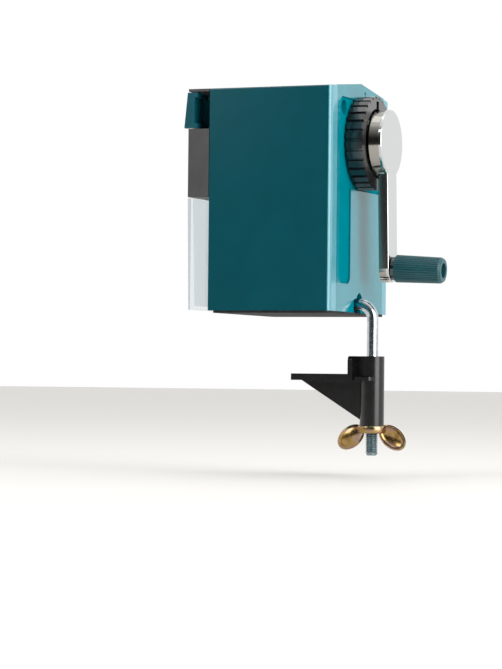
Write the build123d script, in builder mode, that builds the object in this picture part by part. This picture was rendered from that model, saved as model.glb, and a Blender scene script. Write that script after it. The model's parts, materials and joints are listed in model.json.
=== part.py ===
from build123d import *
from math import cos, pi, radians, sin, sqrt, tan
import os

# Desk pencil sharpener with a hand crank and a screw clamp. Millimetres.
# +X points out of the crank side, +Y is the far side, +Z is up, and the origin
# is the middle of the rubber sheet's underside, on the table top.

# ---- driving dimensions ------------------------------------------------------
BODY_LENGTH = 69.6
BODY_WIDTH = 80.5
EAVE_Z = 102.5
RIDGE_Z = 107.0
WALL = 2.5
REAR = BODY_LENGTH / 2
FRONT = -BODY_LENGTH / 2
SHELL_FRONT = REAR - 59.1
SKIRT_Z = 1.0
CORNER_R = 2.5
EAVE_R = 0.6

AXIS_Z = 79.1                  # crank, cutter carrier and pencil share this axis
PANEL_HALF = 32.0
PANEL_THICK = 3.0
GAP = 0.3                      # clearance between pieces that slide past each other
FIT = 0.06                     # radial clearance of a shaft in its hole

CRANK_THROW = 57.6
CRANK_HANG = radians(3.3)      # the arm rests a little to the far side of straight down
HANDLE_DROOP = radians(2.7)    # play in the rivet lets the handle's free end drop
WHEEL_R = 21.7
WHEEL_BACK = REAR + 0.4
WHEEL_THICK = 7.7
WHEEL_WEB = 2.4
HANDLE_LENGTH = 22.4

CLAMP_X = REAR + 6.67          # axis of the hook bolt's threaded leg
TABLE_EDGE_X = REAR - 1.2
TABLE_THICK = 27.3
BOLT_Z = 5.0                   # axis of the hook bolt's short leg
ROD_R = 2.65
THREAD_SLACK = 0.08
THREAD_R = 3.0
BEND_R = 7.0
BOLT_TIP_Z = -64.8

os.makedirs("parts", exist_ok=True)


# Screws, holes and small allowances that several pieces share.
CUT_THROUGH = 20.0
SCREW_HEAD_R = 2.9
SCREW_HEAD_THICK = 1.2
SCREW_R = 1.45
SCREW_HOLE_R = 1.5
SMALL_SCREW_R = 0.95
SMALL_SCREW_LENGTH = 4.8
POST_HEIGHT = 14.0
TUNNEL_WALL = 1.5
CROSS_LENGTH = 3.6
CROSS_WIDTH = 0.8


def save(piece, label):
    """Label one finished piece and write it as a STEP file."""
    piece.part.label = label
    export_step(piece.part, f"parts/{label}.step")


def gable(half_width, bottom, eave, ridge):
    """Draw the house-shaped section: a box with a shallow ridge on top."""
    Polygon(
        (-half_width, bottom),
        (half_width, bottom),
        (half_width, eave),
        (0, ridge),
        (-half_width, eave),
        align=None,
    )


def section(x):
    """Return the plane across the machine at x, with its sketch axes along Y and Z."""
    return Plane.YZ.offset(x)


def axis_plane(x):
    """Return the plane across the machine at x, centred on the main axis."""
    return Plane(origin=(x, 0, AXIS_Z), x_dir=(0, 1, 0), z_dir=(1, 0, 0))


# ---- housing -----------------------------------------------------------------
HALF = BODY_WIDTH / 2
INNER_HALF = HALF - WALL
INNER_EAVE = EAVE_Z - WALL
INNER_RIDGE = RIDGE_Z - WALL

with BuildPart() as housing_shell:
    with BuildSketch(section(SHELL_FRONT)):
        gable(HALF, SKIRT_Z, EAVE_Z, RIDGE_Z)
    extrude(amount=REAR - SHELL_FRONT)
    rear_corners = housing_shell.edges().filter_by(Axis.Z).group_by(Axis.X)[-1]
    fillet(rear_corners, radius=CORNER_R)
    eaves = housing_shell.edges().filter_by(Axis.X).group_by(Axis.Z)[-2]
    fillet(eaves, radius=EAVE_R)
    with BuildSketch(section(SHELL_FRONT)):
        gable(INNER_HALF, 0, INNER_EAVE, INNER_RIDGE)
    extrude(amount=REAR - WALL - SHELL_FRONT, mode=Mode.SUBTRACT)
    with BuildSketch(section(REAR - PANEL_THICK)):
        with Locations((0, RIDGE_Z / 2)):
            Rectangle(2 * PANEL_HALF, RIDGE_Z + 10)
    extrude(amount=PANEL_THICK + 1, mode=Mode.SUBTRACT)
save(housing_shell, "housing_shell")

# Rear panel: fills the opening between the shell's two rear returns.
RECESS_HALF = 28.5
RECESS_TOP = 98.9
RECESS_FOOT = 13.8
RECESS_DEPTH = 0.8
RECESS_R = 4.0
COLUMN_NEAR = -13.0
COLUMN_TOP = 57.3
BOSS_R = 9.0
CLIP_BACK = WHEEL_BACK + WHEEL_WEB + 0.35
CLIP_SLACK = 0.05
CLIP_THICK = 0.6
CLIP_SEAT_R = BOSS_R - 0.8
BOSS_END = CLIP_BACK + CLIP_THICK + 0.8
BUSH_R = 5.2
SCREW_Y = 21.1
POINTER_Y = 5.5
POINTER_Z = 103.0
SCREW_Z = 94.2
TUNNEL_R = 3.5
TUNNEL_FLOOR = REAR - 7.5
SCOOP_HALF = 17.0
SCOOP_RISE = 7.0
SCOOP_DEPTH = 1.2
SLOT_HALF = 4.4
SLOT_TOP = 10.2
PANEL_FIT = 0.12
PANEL_SLOPE = (RIDGE_Z - EAVE_Z) / HALF

with BuildPart() as rear_panel:
    panel_edge = PANEL_HALF - PANEL_FIT
    with BuildSketch(section(REAR - PANEL_THICK)):
        gable(panel_edge, SKIRT_Z, RIDGE_Z - PANEL_SLOPE * panel_edge, RIDGE_Z)
    extrude(amount=PANEL_THICK)
    # Matt field: a square round the wheel, with one strip running down the near side.
    with BuildSketch(section(REAR - RECESS_DEPTH)) as field:
        Polygon(
            (-RECESS_HALF, RECESS_FOOT),
            (COLUMN_NEAR, RECESS_FOOT),
            (COLUMN_NEAR, COLUMN_TOP),
            (RECESS_HALF, COLUMN_TOP),
            (RECESS_HALF, RECESS_TOP),
            (-RECESS_HALF, RECESS_TOP),
            align=None,
        )
        field_corners = field.vertices().sort_by_distance((COLUMN_NEAR, COLUMN_TOP))[1:]
        fillet(field_corners, radius=RECESS_R)
    extrude(amount=RECESS_DEPTH, mode=Mode.SUBTRACT)
    # Tubular boss that the adjusting wheel turns on, with a groove for its clip.
    with BuildSketch(axis_plane(REAR - RECESS_DEPTH - 0.5)):
        Circle(BOSS_R)
    extrude(amount=BOSS_END - REAR + RECESS_DEPTH + 0.5)
    with BuildSketch(axis_plane(CLIP_BACK - CLIP_SLACK)):
        Circle(BOSS_R + 0.5)
        Circle(CLIP_SEAT_R, mode=Mode.SUBTRACT)
    extrude(amount=CLIP_THICK + 2 * CLIP_SLACK, mode=Mode.SUBTRACT)
    with BuildSketch(axis_plane(REAR - PANEL_THICK - 1)):
        Circle(BUSH_R)
    extrude(amount=CUT_THROUGH, mode=Mode.SUBTRACT)
    # Screw tunnels behind the two holes.
    with BuildSketch(section(TUNNEL_FLOOR)):
        with Locations((-SCREW_Y, SCREW_Z), (SCREW_Y, SCREW_Z)):
            Circle(TUNNEL_R + TUNNEL_WALL)
    extrude(amount=REAR - PANEL_THICK - TUNNEL_FLOOR)
    with BuildSketch(section(TUNNEL_FLOOR + TUNNEL_WALL)):
        with Locations((-SCREW_Y, SCREW_Z), (SCREW_Y, SCREW_Z)):
            Circle(TUNNEL_R)
    extrude(amount=CUT_THROUGH, mode=Mode.SUBTRACT)
    with BuildSketch(section(TUNNEL_FLOOR - 1)):
        with Locations((-SCREW_Y, SCREW_Z), (SCREW_Y, SCREW_Z)):
            Circle(1.6)
    extrude(amount=5, mode=Mode.SUBTRACT)
    # Pointer hole above the wheel, and its fine slit down to the recess.
    with BuildSketch(section(REAR - 1.5)):
        with Locations((POINTER_Y, POINTER_Z)):
            Circle(0.8)
        with Locations((POINTER_Y, (POINTER_Z + RECESS_TOP) / 2)):
            Rectangle(0.5, POINTER_Z - RECESS_TOP)
    extrude(amount=2, mode=Mode.SUBTRACT)
    # Scooped arch and pointed slot for the hook bolt.
    with BuildSketch(section(REAR - SCOOP_DEPTH)):
        with BuildLine():
            ThreePointArc(
                (-SCOOP_HALF, SKIRT_Z),
                (0, SKIRT_Z + SCOOP_RISE),
                (SCOOP_HALF, SKIRT_Z),
            )
            Line((SCOOP_HALF, SKIRT_Z), (-SCOOP_HALF, SKIRT_Z))
        make_face()
    extrude(amount=SCOOP_DEPTH, mode=Mode.SUBTRACT)
    with BuildSketch(section(REAR - PANEL_THICK - 1)):
        with BuildLine():
            Line((-SLOT_HALF, 0), (SLOT_HALF, 0))
            Line((SLOT_HALF, 0), (SLOT_HALF, SLOT_TOP - 4.4))
            ThreePointArc(
                (SLOT_HALF, SLOT_TOP - 4.4), (2.9, SLOT_TOP - 1.4), (0, SLOT_TOP)
            )
            ThreePointArc(
                (0, SLOT_TOP), (-2.9, SLOT_TOP - 1.4), (-SLOT_HALF, SLOT_TOP - 4.4)
            )
            Line((-SLOT_HALF, SLOT_TOP - 4.4), (-SLOT_HALF, 0))
        make_face()
    extrude(amount=PANEL_THICK + 2, mode=Mode.SUBTRACT)
save(rear_panel, "rear_panel")

# Base plate, closed from below by a non-slip sheet.
BASE_HALF = INNER_HALF - 0.15
BASE_FRONT = SHELL_FRONT + 0.4
BASE_REAR = REAR - PANEL_THICK - 0.1
BASE_TOP = 3.5
SOCKET_HALF = 6.0
SOCKET_FRONT = 17.0
SOCKET_TOP = 10.4
POST_SPOTS = ((24.0, -32.0), (24.0, 32.0))
SOCKET_SPOTS = ((24.5, -4.5), (24.5, 4.5))

with BuildPart() as base_plate:
    with BuildSketch(Plane.XY.offset(SKIRT_Z)):
        with Locations(((BASE_FRONT + BASE_REAR) / 2, 0)):
            Rectangle(BASE_REAR - BASE_FRONT, 2 * BASE_HALF)
        with Locations(((SOCKET_FRONT + BASE_REAR) / 2 + 1, 0)):
            Rectangle(
                BASE_REAR - SOCKET_FRONT + 2.2, 2 * SOCKET_HALF + 0.2, mode=Mode.SUBTRACT
            )
        with Locations(*POST_SPOTS):
            Circle(SCREW_HOLE_R, mode=Mode.SUBTRACT)
    extrude(amount=BASE_TOP - SKIRT_Z)
    # Two pillars that the base screws run up into.
    with BuildSketch(Plane.XY.offset(BASE_TOP)):
        with Locations(*POST_SPOTS):
            Circle(4)
            Circle(SCREW_HOLE_R, mode=Mode.SUBTRACT)
    extrude(amount=POST_HEIGHT)
    with BuildSketch(Plane.XY.offset(SKIRT_Z)):
        with Locations(*POST_SPOTS):
            Circle(3)
    extrude(amount=1.3, mode=Mode.SUBTRACT)
save(base_plate, "base_plate")

with BuildPart() as anti_slip_mat:
    with BuildSketch():
        with Locations(((SHELL_FRONT + REAR) / 2, 0)):
            RectangleRounded(REAR - SHELL_FRONT - 2.4, BODY_WIDTH - 2.4, 3)
    extrude(amount=SKIRT_Z)
save(anti_slip_mat, "anti_slip_mat")

with BuildPart() as clamp_socket:
    with BuildSketch(Plane.XY.offset(SKIRT_Z)):
        with Locations(((SOCKET_FRONT + BASE_REAR) / 2, 0)):
            Rectangle(BASE_REAR - SOCKET_FRONT, 2 * SOCKET_HALF)
    extrude(amount=SOCKET_TOP - SKIRT_Z)
    fillet(clamp_socket.edges().filter_by(Axis.X).group_by(Axis.Z)[-1], radius=1.5)
    with BuildSketch(section(SOCKET_FRONT + 0.9)):
        with Locations((0, BOLT_Z)):
            Circle(ROD_R + 0.09)
    extrude(amount=BODY_LENGTH, mode=Mode.SUBTRACT)
    with BuildSketch(Plane.XY.offset(SKIRT_Z)):
        with Locations(*SOCKET_SPOTS):
            Circle(1.0)
    extrude(amount=5, mode=Mode.SUBTRACT)
save(clamp_socket, "clamp_socket")

with BuildPart() as base_screws:
    with BuildSketch(Plane.XY.offset(SKIRT_Z)):
        with Locations(*POST_SPOTS):
            Circle(SCREW_HEAD_R)
    extrude(amount=1.2)
    with BuildSketch(Plane.XY.offset(SKIRT_Z)):
        with Locations(*POST_SPOTS):
            Circle(SCREW_R)
    extrude(amount=POST_HEIGHT)
    with BuildSketch(Plane.XY.offset(SKIRT_Z)):
        with Locations(*SOCKET_SPOTS):
            Circle(SMALL_SCREW_R)
    extrude(amount=SMALL_SCREW_LENGTH)
save(base_screws, "base_screws")

# ---- fixed frame inside the housing ------------------------------------------
ROD_Y = 29.5
ROD_Z = 66.0
GUIDE_R = 2.0
GUIDE_BUSH_R = 3.5
BULKHEAD_FRONT = SHELL_FRONT + 0.5
BULKHEAD_BACK = BULKHEAD_FRONT + 2.5
BULKHEAD_FOOT = 53.8
SPRING_Z = 76.0
SPRING_R = 2.3
ROD_SPOTS = ((-ROD_Y, ROD_Z), (ROD_Y, ROD_Z))
SPRING_SPOTS = ((-ROD_Y, SPRING_Z), (ROD_Y, SPRING_Z))
PLATE_FRONT = 23.0
PLATE_BACK = 26.0
PLATE_HALF = 34.0

with BuildPart() as front_bulkhead:
    with BuildSketch(section(BULKHEAD_FRONT)):
        gable(INNER_HALF - 0.15, BULKHEAD_FOOT, INNER_EAVE - 0.2, INNER_RIDGE - 0.2)
        with Locations((0, AXIS_Z)):
            Circle(18, mode=Mode.SUBTRACT)
        with Locations(*ROD_SPOTS):
            Circle(GUIDE_BUSH_R, mode=Mode.SUBTRACT)
        with Locations(*SPRING_SPOTS):
            Circle(SPRING_R + 0.9, mode=Mode.SUBTRACT)
    extrude(amount=BULKHEAD_BACK - BULKHEAD_FRONT)
save(front_bulkhead, "front_bulkhead")

with BuildPart() as guide_bushes:
    with BuildSketch(section(BULKHEAD_FRONT)):
        with Locations(*ROD_SPOTS):
            Circle(GUIDE_BUSH_R)
    extrude(amount=10)
    with BuildSketch(section(BULKHEAD_BACK)):
        with Locations(*ROD_SPOTS):
            Circle(GUIDE_BUSH_R + 1.5)
    extrude(amount=1.2)
    with BuildSketch(section(BULKHEAD_FRONT)):
        with Locations(*ROD_SPOTS):
            Circle(GUIDE_R + FIT)
    extrude(amount=10, mode=Mode.SUBTRACT)
save(guide_bushes, "guide_bushes")

PLATE_MIDDLE_Z = 78.0
PLATE_HEIGHT = 44.0
SPRING_PIN_R = 0.6

with BuildPart() as bearing_plate:
    with BuildSketch(section(PLATE_FRONT)):
        with Locations((0, PLATE_MIDDLE_Z)):
            RectangleRounded(2 * PLATE_HALF, PLATE_HEIGHT, 3)
        with Locations((0, AXIS_Z)):
            Circle(BUSH_R + FIT, mode=Mode.SUBTRACT)
        with Locations((-SCREW_Y, SCREW_Z), (SCREW_Y, SCREW_Z)):
            Circle(SCREW_HOLE_R, mode=Mode.SUBTRACT)
        with Locations(*SPRING_SPOTS):
            Circle(SPRING_PIN_R, mode=Mode.SUBTRACT)
    extrude(amount=PLATE_BACK - PLATE_FRONT)
save(bearing_plate, "bearing_plate")

with BuildPart() as panel_screws:
    with BuildSketch(section(TUNNEL_FLOOR + TUNNEL_WALL)):
        with Locations((-SCREW_Y, SCREW_Z), (SCREW_Y, SCREW_Z)):
            Circle(SCREW_HEAD_R)
    extrude(amount=2.2)
    with BuildSketch(section(PLATE_FRONT)):
        with Locations((-SCREW_Y, SCREW_Z), (SCREW_Y, SCREW_Z)):
            Circle(SCREW_R)
    extrude(amount=TUNNEL_FLOOR + TUNNEL_WALL - PLATE_FRONT)
    with BuildSketch(section(TUNNEL_FLOOR + TUNNEL_WALL + 1)):
        with Locations((-SCREW_Y, SCREW_Z), (SCREW_Y, SCREW_Z)):
            Rectangle(CROSS_LENGTH, CROSS_WIDTH)
            Rectangle(CROSS_WIDTH, CROSS_LENGTH)
    extrude(amount=3, mode=Mode.SUBTRACT)
save(panel_screws, "panel_screws")

# ---- cutter geometry ---------------------------------------------------------
CONE_ANGLE = radians(10)       # half angle of the sharpened point
TIP_X = 3.0                    # where the pencil's tip comes to rest
CUTTER_R = 9.0
CUTTER_FRONT = -15.0
CUTTER_BACK = 11.0
PINION_FRONT = 12.6
PINION_BACK = 16.6
PINION_TEETH = 14
RING_TEETH = 28
PLAY = 0.7                     # end travel of the point adjustment, each way


def cutter_height(x):
    """Return how far the tilted cutter's axis stands off the main axis at x."""
    return CUTTER_R / cos(CONE_ANGLE) + (TIP_X - x) * tan(CONE_ANGLE)


def cutter_plane(x):
    """Return the plane square to the tilted cutter's axis where it crosses x."""
    return Plane(
        origin=(x, 0, AXIS_Z + cutter_height(x)),
        x_dir=(0, 1, 0),
        z_dir=(cos(CONE_ANGLE), 0, -sin(CONE_ANGLE)),
    )


def tilted_length(x_from, x_to):
    """Return the distance along the tilted axis between two x positions."""
    return (x_to - x_from) / cos(CONE_ANGLE)


PINION_PITCH_R = cutter_height((PINION_FRONT + PINION_BACK) / 2)
MODULE = 2 * PINION_PITCH_R / PINION_TEETH
RING_PITCH_R = MODULE * RING_TEETH / 2


def gear_outline(teeth, root_r, tip_r, root_share, tip_share, phase):
    """Draw a toothed outline; the shares are each land's part of the pitch angle."""
    step = 2 * pi / teeth
    points = []
    for tooth in range(teeth):
        middle = tooth * step + phase
        for radius, offset in (
            (root_r, -root_share / 2),
            (tip_r, -tip_share / 2),
            (tip_r, tip_share / 2),
            (root_r, root_share / 2),
        ):
            angle = middle + offset * step
            points.append((radius * sin(angle), radius * cos(angle)))
    Polygon(*points, align=None)


# Teeth: heights are shares of the module, widths are shares of one pitch.
RING_ADDENDUM = 0.75
PINION_ADDENDUM = 0.7
DEDENDUM = 1.2
RING_TOOTH = (0.84, 0.50)
PINION_TOOTH = (0.60, 0.16)
RING_FRONT = 13.2
RING_SHELF = 18.8
RING_OUTER_R = 18.0
RING_BORE_R = 15.5
AXLE_R = 2.0

# Ring gear: a cup fixed to the bearing plate, with teeth round its mouth.
with BuildPart() as ring_gear:
    with BuildSketch(axis_plane(RING_FRONT)):
        Circle(RING_OUTER_R)
    extrude(amount=PLATE_FRONT - RING_FRONT)
    with BuildSketch(axis_plane(RING_FRONT)):
        gear_outline(
            RING_TEETH,
            RING_PITCH_R - RING_ADDENDUM * MODULE,
            RING_PITCH_R + DEDENDUM * MODULE,
            *RING_TOOTH,
            0,
        )
    extrude(amount=RING_SHELF - RING_FRONT, mode=Mode.SUBTRACT)
    with BuildSketch(axis_plane(RING_SHELF)):
        Circle(RING_BORE_R)
    extrude(amount=PLATE_FRONT - RING_SHELF, mode=Mode.SUBTRACT)
save(ring_gear, "ring_gear")

with BuildPart() as cutter_pinion:
    with BuildSketch(cutter_plane(PINION_FRONT)):
        gear_outline(
            PINION_TEETH,
            PINION_PITCH_R - DEDENDUM * MODULE,
            PINION_PITCH_R + PINION_ADDENDUM * MODULE,
            *PINION_TOOTH,
            0,
        )
    extrude(amount=tilted_length(PINION_FRONT, PINION_BACK))
    with BuildSketch(cutter_plane(PINION_FRONT)):
        Circle(AXLE_R + FIT)
    extrude(amount=tilted_length(PINION_FRONT, PINION_BACK), mode=Mode.SUBTRACT)
save(cutter_pinion, "cutter_pinion")

# Helical milling cutter: sixteen twisted edges on a drum.
CUTTER_EDGES = 16
CUTTER_TWIST = 70
FLUTE_DEPTH = 1.1
CUTTER_TOOTH = (0.95, 0.16)
with BuildSketch(cutter_plane(CUTTER_FRONT)) as cutter_profile:
    gear_outline(CUTTER_EDGES, CUTTER_R - FLUTE_DEPTH, CUTTER_R, *CUTTER_TOOTH, 0)
cutter_start = cutter_plane(CUTTER_FRONT)
cutter_drum = Solid.extrude_linear_with_rotation(
    cutter_profile.sketch.faces()[0],
    cutter_start.origin,
    cutter_start.z_dir * tilted_length(CUTTER_FRONT, CUTTER_BACK),
    CUTTER_TWIST,
)
with BuildPart() as helical_cutter:
    add(cutter_drum)
    with BuildSketch(cutter_plane(CUTTER_FRONT)):
        Circle(AXLE_R + FIT)
    extrude(amount=tilted_length(CUTTER_FRONT, CUTTER_BACK), mode=Mode.SUBTRACT)
save(helical_cutter, "helical_cutter")

# Carrier: front disc, rear disc and a trough between them, opposite the cutter.
CARRIER_FRONT = -20.0
CARRIER_REAR = 20.6
DISC_THICK = 2.6
FRONT_DISC_R = 17.0
TROUGH_R = 11.5
PENCIL_CLEAR_R = 5.2
TROUGH_LIP = 2.6
TROUGH_CUT = 40.0
AXLE_POCKET_X = 19.4
AXLE_END_X = 19.2
AXLE_SET_BACK = 0.2

with BuildPart() as cutter_carrier:
    with BuildSketch(axis_plane(CARRIER_FRONT)):
        Circle(FRONT_DISC_R)
    extrude(amount=DISC_THICK)
    with BuildSketch(axis_plane(CARRIER_FRONT + DISC_THICK)):
        Circle(TROUGH_R)
        Circle(PENCIL_CLEAR_R, mode=Mode.SUBTRACT)
        with Locations((0, TROUGH_CUT / 2 - TROUGH_LIP)):
            Rectangle(TROUGH_CUT, TROUGH_CUT, mode=Mode.SUBTRACT)
    extrude(amount=CARRIER_REAR - CARRIER_FRONT - 2 * DISC_THICK)
    with BuildSketch(axis_plane(CARRIER_REAR - DISC_THICK)):
        Circle(TROUGH_R)
    extrude(amount=DISC_THICK)
    with BuildSketch(axis_plane(CARRIER_FRONT)):
        Circle(PENCIL_CLEAR_R)
    extrude(amount=DISC_THICK, mode=Mode.SUBTRACT)
    with BuildSketch(cutter_plane(CARRIER_FRONT - 2)):
        Circle(AXLE_R)
    extrude(amount=tilted_length(CARRIER_FRONT - 2, AXLE_POCKET_X), mode=Mode.SUBTRACT)
save(cutter_carrier, "cutter_carrier")

with BuildPart() as cutter_axle:
    with BuildSketch(cutter_plane(CARRIER_FRONT + AXLE_SET_BACK)):
        Circle(AXLE_R)
    extrude(amount=tilted_length(CARRIER_FRONT + AXLE_SET_BACK, AXLE_END_X))
save(cutter_axle, "cutter_axle")

SHAFT_R = 4.0
SHAFT_CHAMFER = 0.6
WASHER_R = 8.0
WASHER_THICK = 0.8
BUSH_SET_BACK = 0.7
SHAFT_END = REAR + 12.9
BUSH_END = BOSS_END - 0.2
with BuildPart() as drive_shaft:
    with BuildSketch(axis_plane(CARRIER_REAR)):
        Circle(SHAFT_R)
    extrude(amount=SHAFT_END - CARRIER_REAR)
    chamfer(drive_shaft.edges().group_by(Axis.X)[-1], length=SHAFT_CHAMFER)
save(drive_shaft, "drive_shaft")

with BuildPart() as thrust_washer:
    with BuildSketch(axis_plane(CARRIER_REAR)):
        Circle(WASHER_R)
        Circle(SHAFT_R, mode=Mode.SUBTRACT)
    extrude(amount=WASHER_THICK)
save(thrust_washer, "thrust_washer")

with BuildPart() as shaft_bush:
    with BuildSketch(axis_plane(PLATE_FRONT - BUSH_SET_BACK)):
        Circle(BUSH_R - FIT)
        Circle(SHAFT_R + FIT, mode=Mode.SUBTRACT)
    extrude(amount=BUSH_END - PLATE_FRONT + BUSH_SET_BACK)
save(shaft_bush, "shaft_bush")

# ---- point adjusting wheel ---------------------------------------------------
WHEEL_RIBS = 30
RIB_DEPTH = 1.2
RIM_R = 16.0
RIB_SHARES = (0.80, 0.68)
NOTCH_SIZE = (3.4, 4.2)
NOTCH_OUT = 1.4
with BuildPart() as adjusting_wheel:
    with BuildSketch(axis_plane(WHEEL_BACK)):
        gear_outline(WHEEL_RIBS, WHEEL_R - RIB_DEPTH, WHEEL_R, *RIB_SHARES, 0)
    extrude(amount=WHEEL_THICK)
    with BuildSketch(axis_plane(WHEEL_BACK + WHEEL_WEB)):
        Circle(RIM_R)
    extrude(amount=WHEEL_THICK, mode=Mode.SUBTRACT)
    with BuildSketch(axis_plane(WHEEL_BACK)):
        Circle(BOSS_R + FIT)
    extrude(amount=WHEEL_THICK, mode=Mode.SUBTRACT)
    # Index notch in the front face.
    with BuildSketch(axis_plane(WHEEL_BACK + WHEEL_THICK - 2)):
        with Locations((0, RIM_R + NOTCH_OUT)):
            Rectangle(*NOTCH_SIZE)
    extrude(amount=3, mode=Mode.SUBTRACT)
save(adjusting_wheel, "adjusting_wheel")

CLIP_R = 11.0
CLIP_MOUTH = (8.0, 16.0)

with BuildPart() as wheel_clip:
    with BuildSketch(axis_plane(CLIP_BACK)):
        Circle(CLIP_R)
        Circle(CLIP_SEAT_R, mode=Mode.SUBTRACT)
        with Locations((0, -CLIP_MOUTH[1] / 2)):
            Rectangle(*CLIP_MOUTH, mode=Mode.SUBTRACT)
    extrude(amount=CLIP_THICK)
save(wheel_clip, "wheel_clip")

# Leaf that clicks along the wheel's back.
LEAF_Y = -15.0
LEAF_SIZE = (4.0, 14.0)
LEAF_THICK = 0.4
NOSE_OFFSET = 5.0
NOSE_R = 1.4
NOSE_HEIGHT = 0.6
NOSE_ROUND = 0.3

with BuildPart() as detent_leaf:
    with BuildSketch(section(REAR - RECESS_DEPTH)):
        with Locations((LEAF_Y, AXIS_Z)):
            Rectangle(*LEAF_SIZE)
    extrude(amount=LEAF_THICK)
    with BuildSketch(section(REAR - RECESS_DEPTH + LEAF_THICK)):
        with Locations((LEAF_Y, AXIS_Z + NOSE_OFFSET)):
            Circle(NOSE_R)
    extrude(amount=NOSE_HEIGHT)
    fillet(detent_leaf.edges().group_by(Axis.X)[-1], radius=NOSE_ROUND)
save(detent_leaf, "detent_leaf")

# ---- crank -------------------------------------------------------------------
CRANK_FACE = REAR + 15.2
CRANK_PLATE = 1.5
HEAD_R = 15.5
ARM_HALF = 6.5
ARM_DEPTH = 4.7
ARM_WALL = 1.3
BOLT_R = 2.0
CUP_BACK = REAR + 7.4
CUP_R = 15.0
CUP_WAIST_R = 14.4
CUP_WALL = 1.2


def crank_plane(x):
    """Return the plane across the main axis at x, turned to the crank's rest."""
    return Plane(
        origin=(x, 0, AXIS_Z),
        x_dir=(0, cos(CRANK_HANG), sin(CRANK_HANG)),
        z_dir=(1, 0, 0),
    )


def handle_plane(x):
    """Return the plane square to the drooping handle's pin where it crosses x."""
    return Plane(
        origin=(
            x,
            CRANK_THROW * sin(CRANK_HANG),
            AXIS_Z - CRANK_THROW * cos(CRANK_HANG) - (x - CRANK_FACE) * tan(HANDLE_DROOP),
        ),
        x_dir=(0, 1, 0),
        z_dir=(cos(HANDLE_DROOP), 0, -sin(HANDLE_DROOP)),
    )


def arm_outline(half_width, head_r):
    """Draw the crank's outline: a round head with a straight arm hanging from it."""
    Circle(head_r)
    with Locations((0, -CRANK_THROW / 2)):
        Rectangle(2 * half_width, CRANK_THROW)
    with Locations((0, -CRANK_THROW)):
        Circle(half_width)


with BuildPart() as crank_arm:
    with BuildSketch(crank_plane(CRANK_FACE - ARM_DEPTH)):
        arm_outline(ARM_HALF, ARM_HALF)
    extrude(amount=ARM_DEPTH)
    with BuildSketch(crank_plane(CRANK_FACE - ARM_DEPTH)):
        arm_outline(ARM_HALF - ARM_WALL, ARM_HALF - ARM_WALL)
    extrude(amount=ARM_DEPTH - CRANK_PLATE, mode=Mode.SUBTRACT)
    with BuildSketch(crank_plane(CRANK_FACE - ARM_DEPTH)):
        Circle(HEAD_R)
    extrude(amount=ARM_DEPTH - CRANK_PLATE, mode=Mode.SUBTRACT)
    with BuildSketch(crank_plane(CRANK_FACE - CRANK_PLATE)):
        arm_outline(ARM_HALF, HEAD_R)
    extrude(amount=CRANK_PLATE)
    fillet(crank_arm.faces().sort_by(Axis.X)[-1].edges(), radius=0.5)
    with BuildSketch(handle_plane(CRANK_FACE - 2 * CRANK_PLATE)):
        Circle(BOLT_R)
    extrude(amount=3 * CRANK_PLATE, mode=Mode.SUBTRACT)
save(crank_arm, "crank_arm")

# Hub cup: a drawn steel bowl behind the crank's head.
with BuildPart() as crank_hub:
    with BuildSketch(Plane.XZ):
        with BuildLine():
            Polyline(
                (CUP_BACK, AXIS_Z + SHAFT_R),
                (CUP_BACK, AXIS_Z + CUP_R - 1.4),
                (CUP_BACK + 0.6, AXIS_Z + CUP_R - 0.4),
                (CUP_BACK + 1.6, AXIS_Z + CUP_R),
                (CRANK_FACE - CRANK_PLATE, AXIS_Z + CUP_WAIST_R),
                (CRANK_FACE - CRANK_PLATE, AXIS_Z + CUP_WAIST_R - CUP_WALL),
                (CUP_BACK + 2.2, AXIS_Z + CUP_R - CUP_WALL),
                (CUP_BACK + CUP_WALL, AXIS_Z + CUP_R - 2.4),
                (CUP_BACK + CUP_WALL, AXIS_Z + SHAFT_R),
                close=True,
            )
        make_face()
    revolve(axis=Axis((0, 0, AXIS_Z), (1, 0, 0)))
save(crank_hub, "crank_hub")

with BuildPart() as shaft_nut:
    with BuildSketch(axis_plane(CUP_BACK + CUP_WALL)):
        RegularPolygon(radius=6.4, side_count=6)
        Circle(SHAFT_R, mode=Mode.SUBTRACT)
    extrude(amount=3)
save(shaft_nut, "shaft_nut")

HANDLE_ROOT = CRANK_FACE + 2.0
HANDLE_END = HANDLE_ROOT + HANDLE_LENGTH
HANDLE_R = 6.36
HANDLE_END_R = 6.0
HANDLE_RIBS = 36
EYE_R = 3.5
EYE_FLOOR = HANDLE_END - 7.5


with BuildPart() as handle_washer:
    with BuildSketch(handle_plane(CRANK_FACE + GAP)):
        Circle(5.4)
        Circle(BOLT_R, mode=Mode.SUBTRACT)
    extrude(amount=HANDLE_ROOT - CRANK_FACE - 2 * GAP)
save(handle_washer, "handle_washer")

with BuildPart() as handle_bolt:
    with BuildSketch(handle_plane(CRANK_FACE - CRANK_PLATE - 1.4)):
        Circle(BOLT_R + 1)
    extrude(amount=1.2)
    with BuildSketch(handle_plane(CRANK_FACE - CRANK_PLATE - GAP)):
        Circle(BOLT_R)
    extrude(amount=EYE_FLOOR - CRANK_FACE + CRANK_PLATE + 3 * GAP)
    with BuildSketch(handle_plane(EYE_FLOOR + GAP)):
        Circle(3.0)
    extrude(amount=1.6)
    with BuildSketch(handle_plane(EYE_FLOOR + GAP + 0.8)):
        Rectangle(0.8, 5)
    extrude(amount=2, mode=Mode.SUBTRACT)
save(handle_bolt, "handle_bolt")

GROOVE_DEPTH = 0.3
GROOVE_SHARES = (0.9, 0.45)

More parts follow.
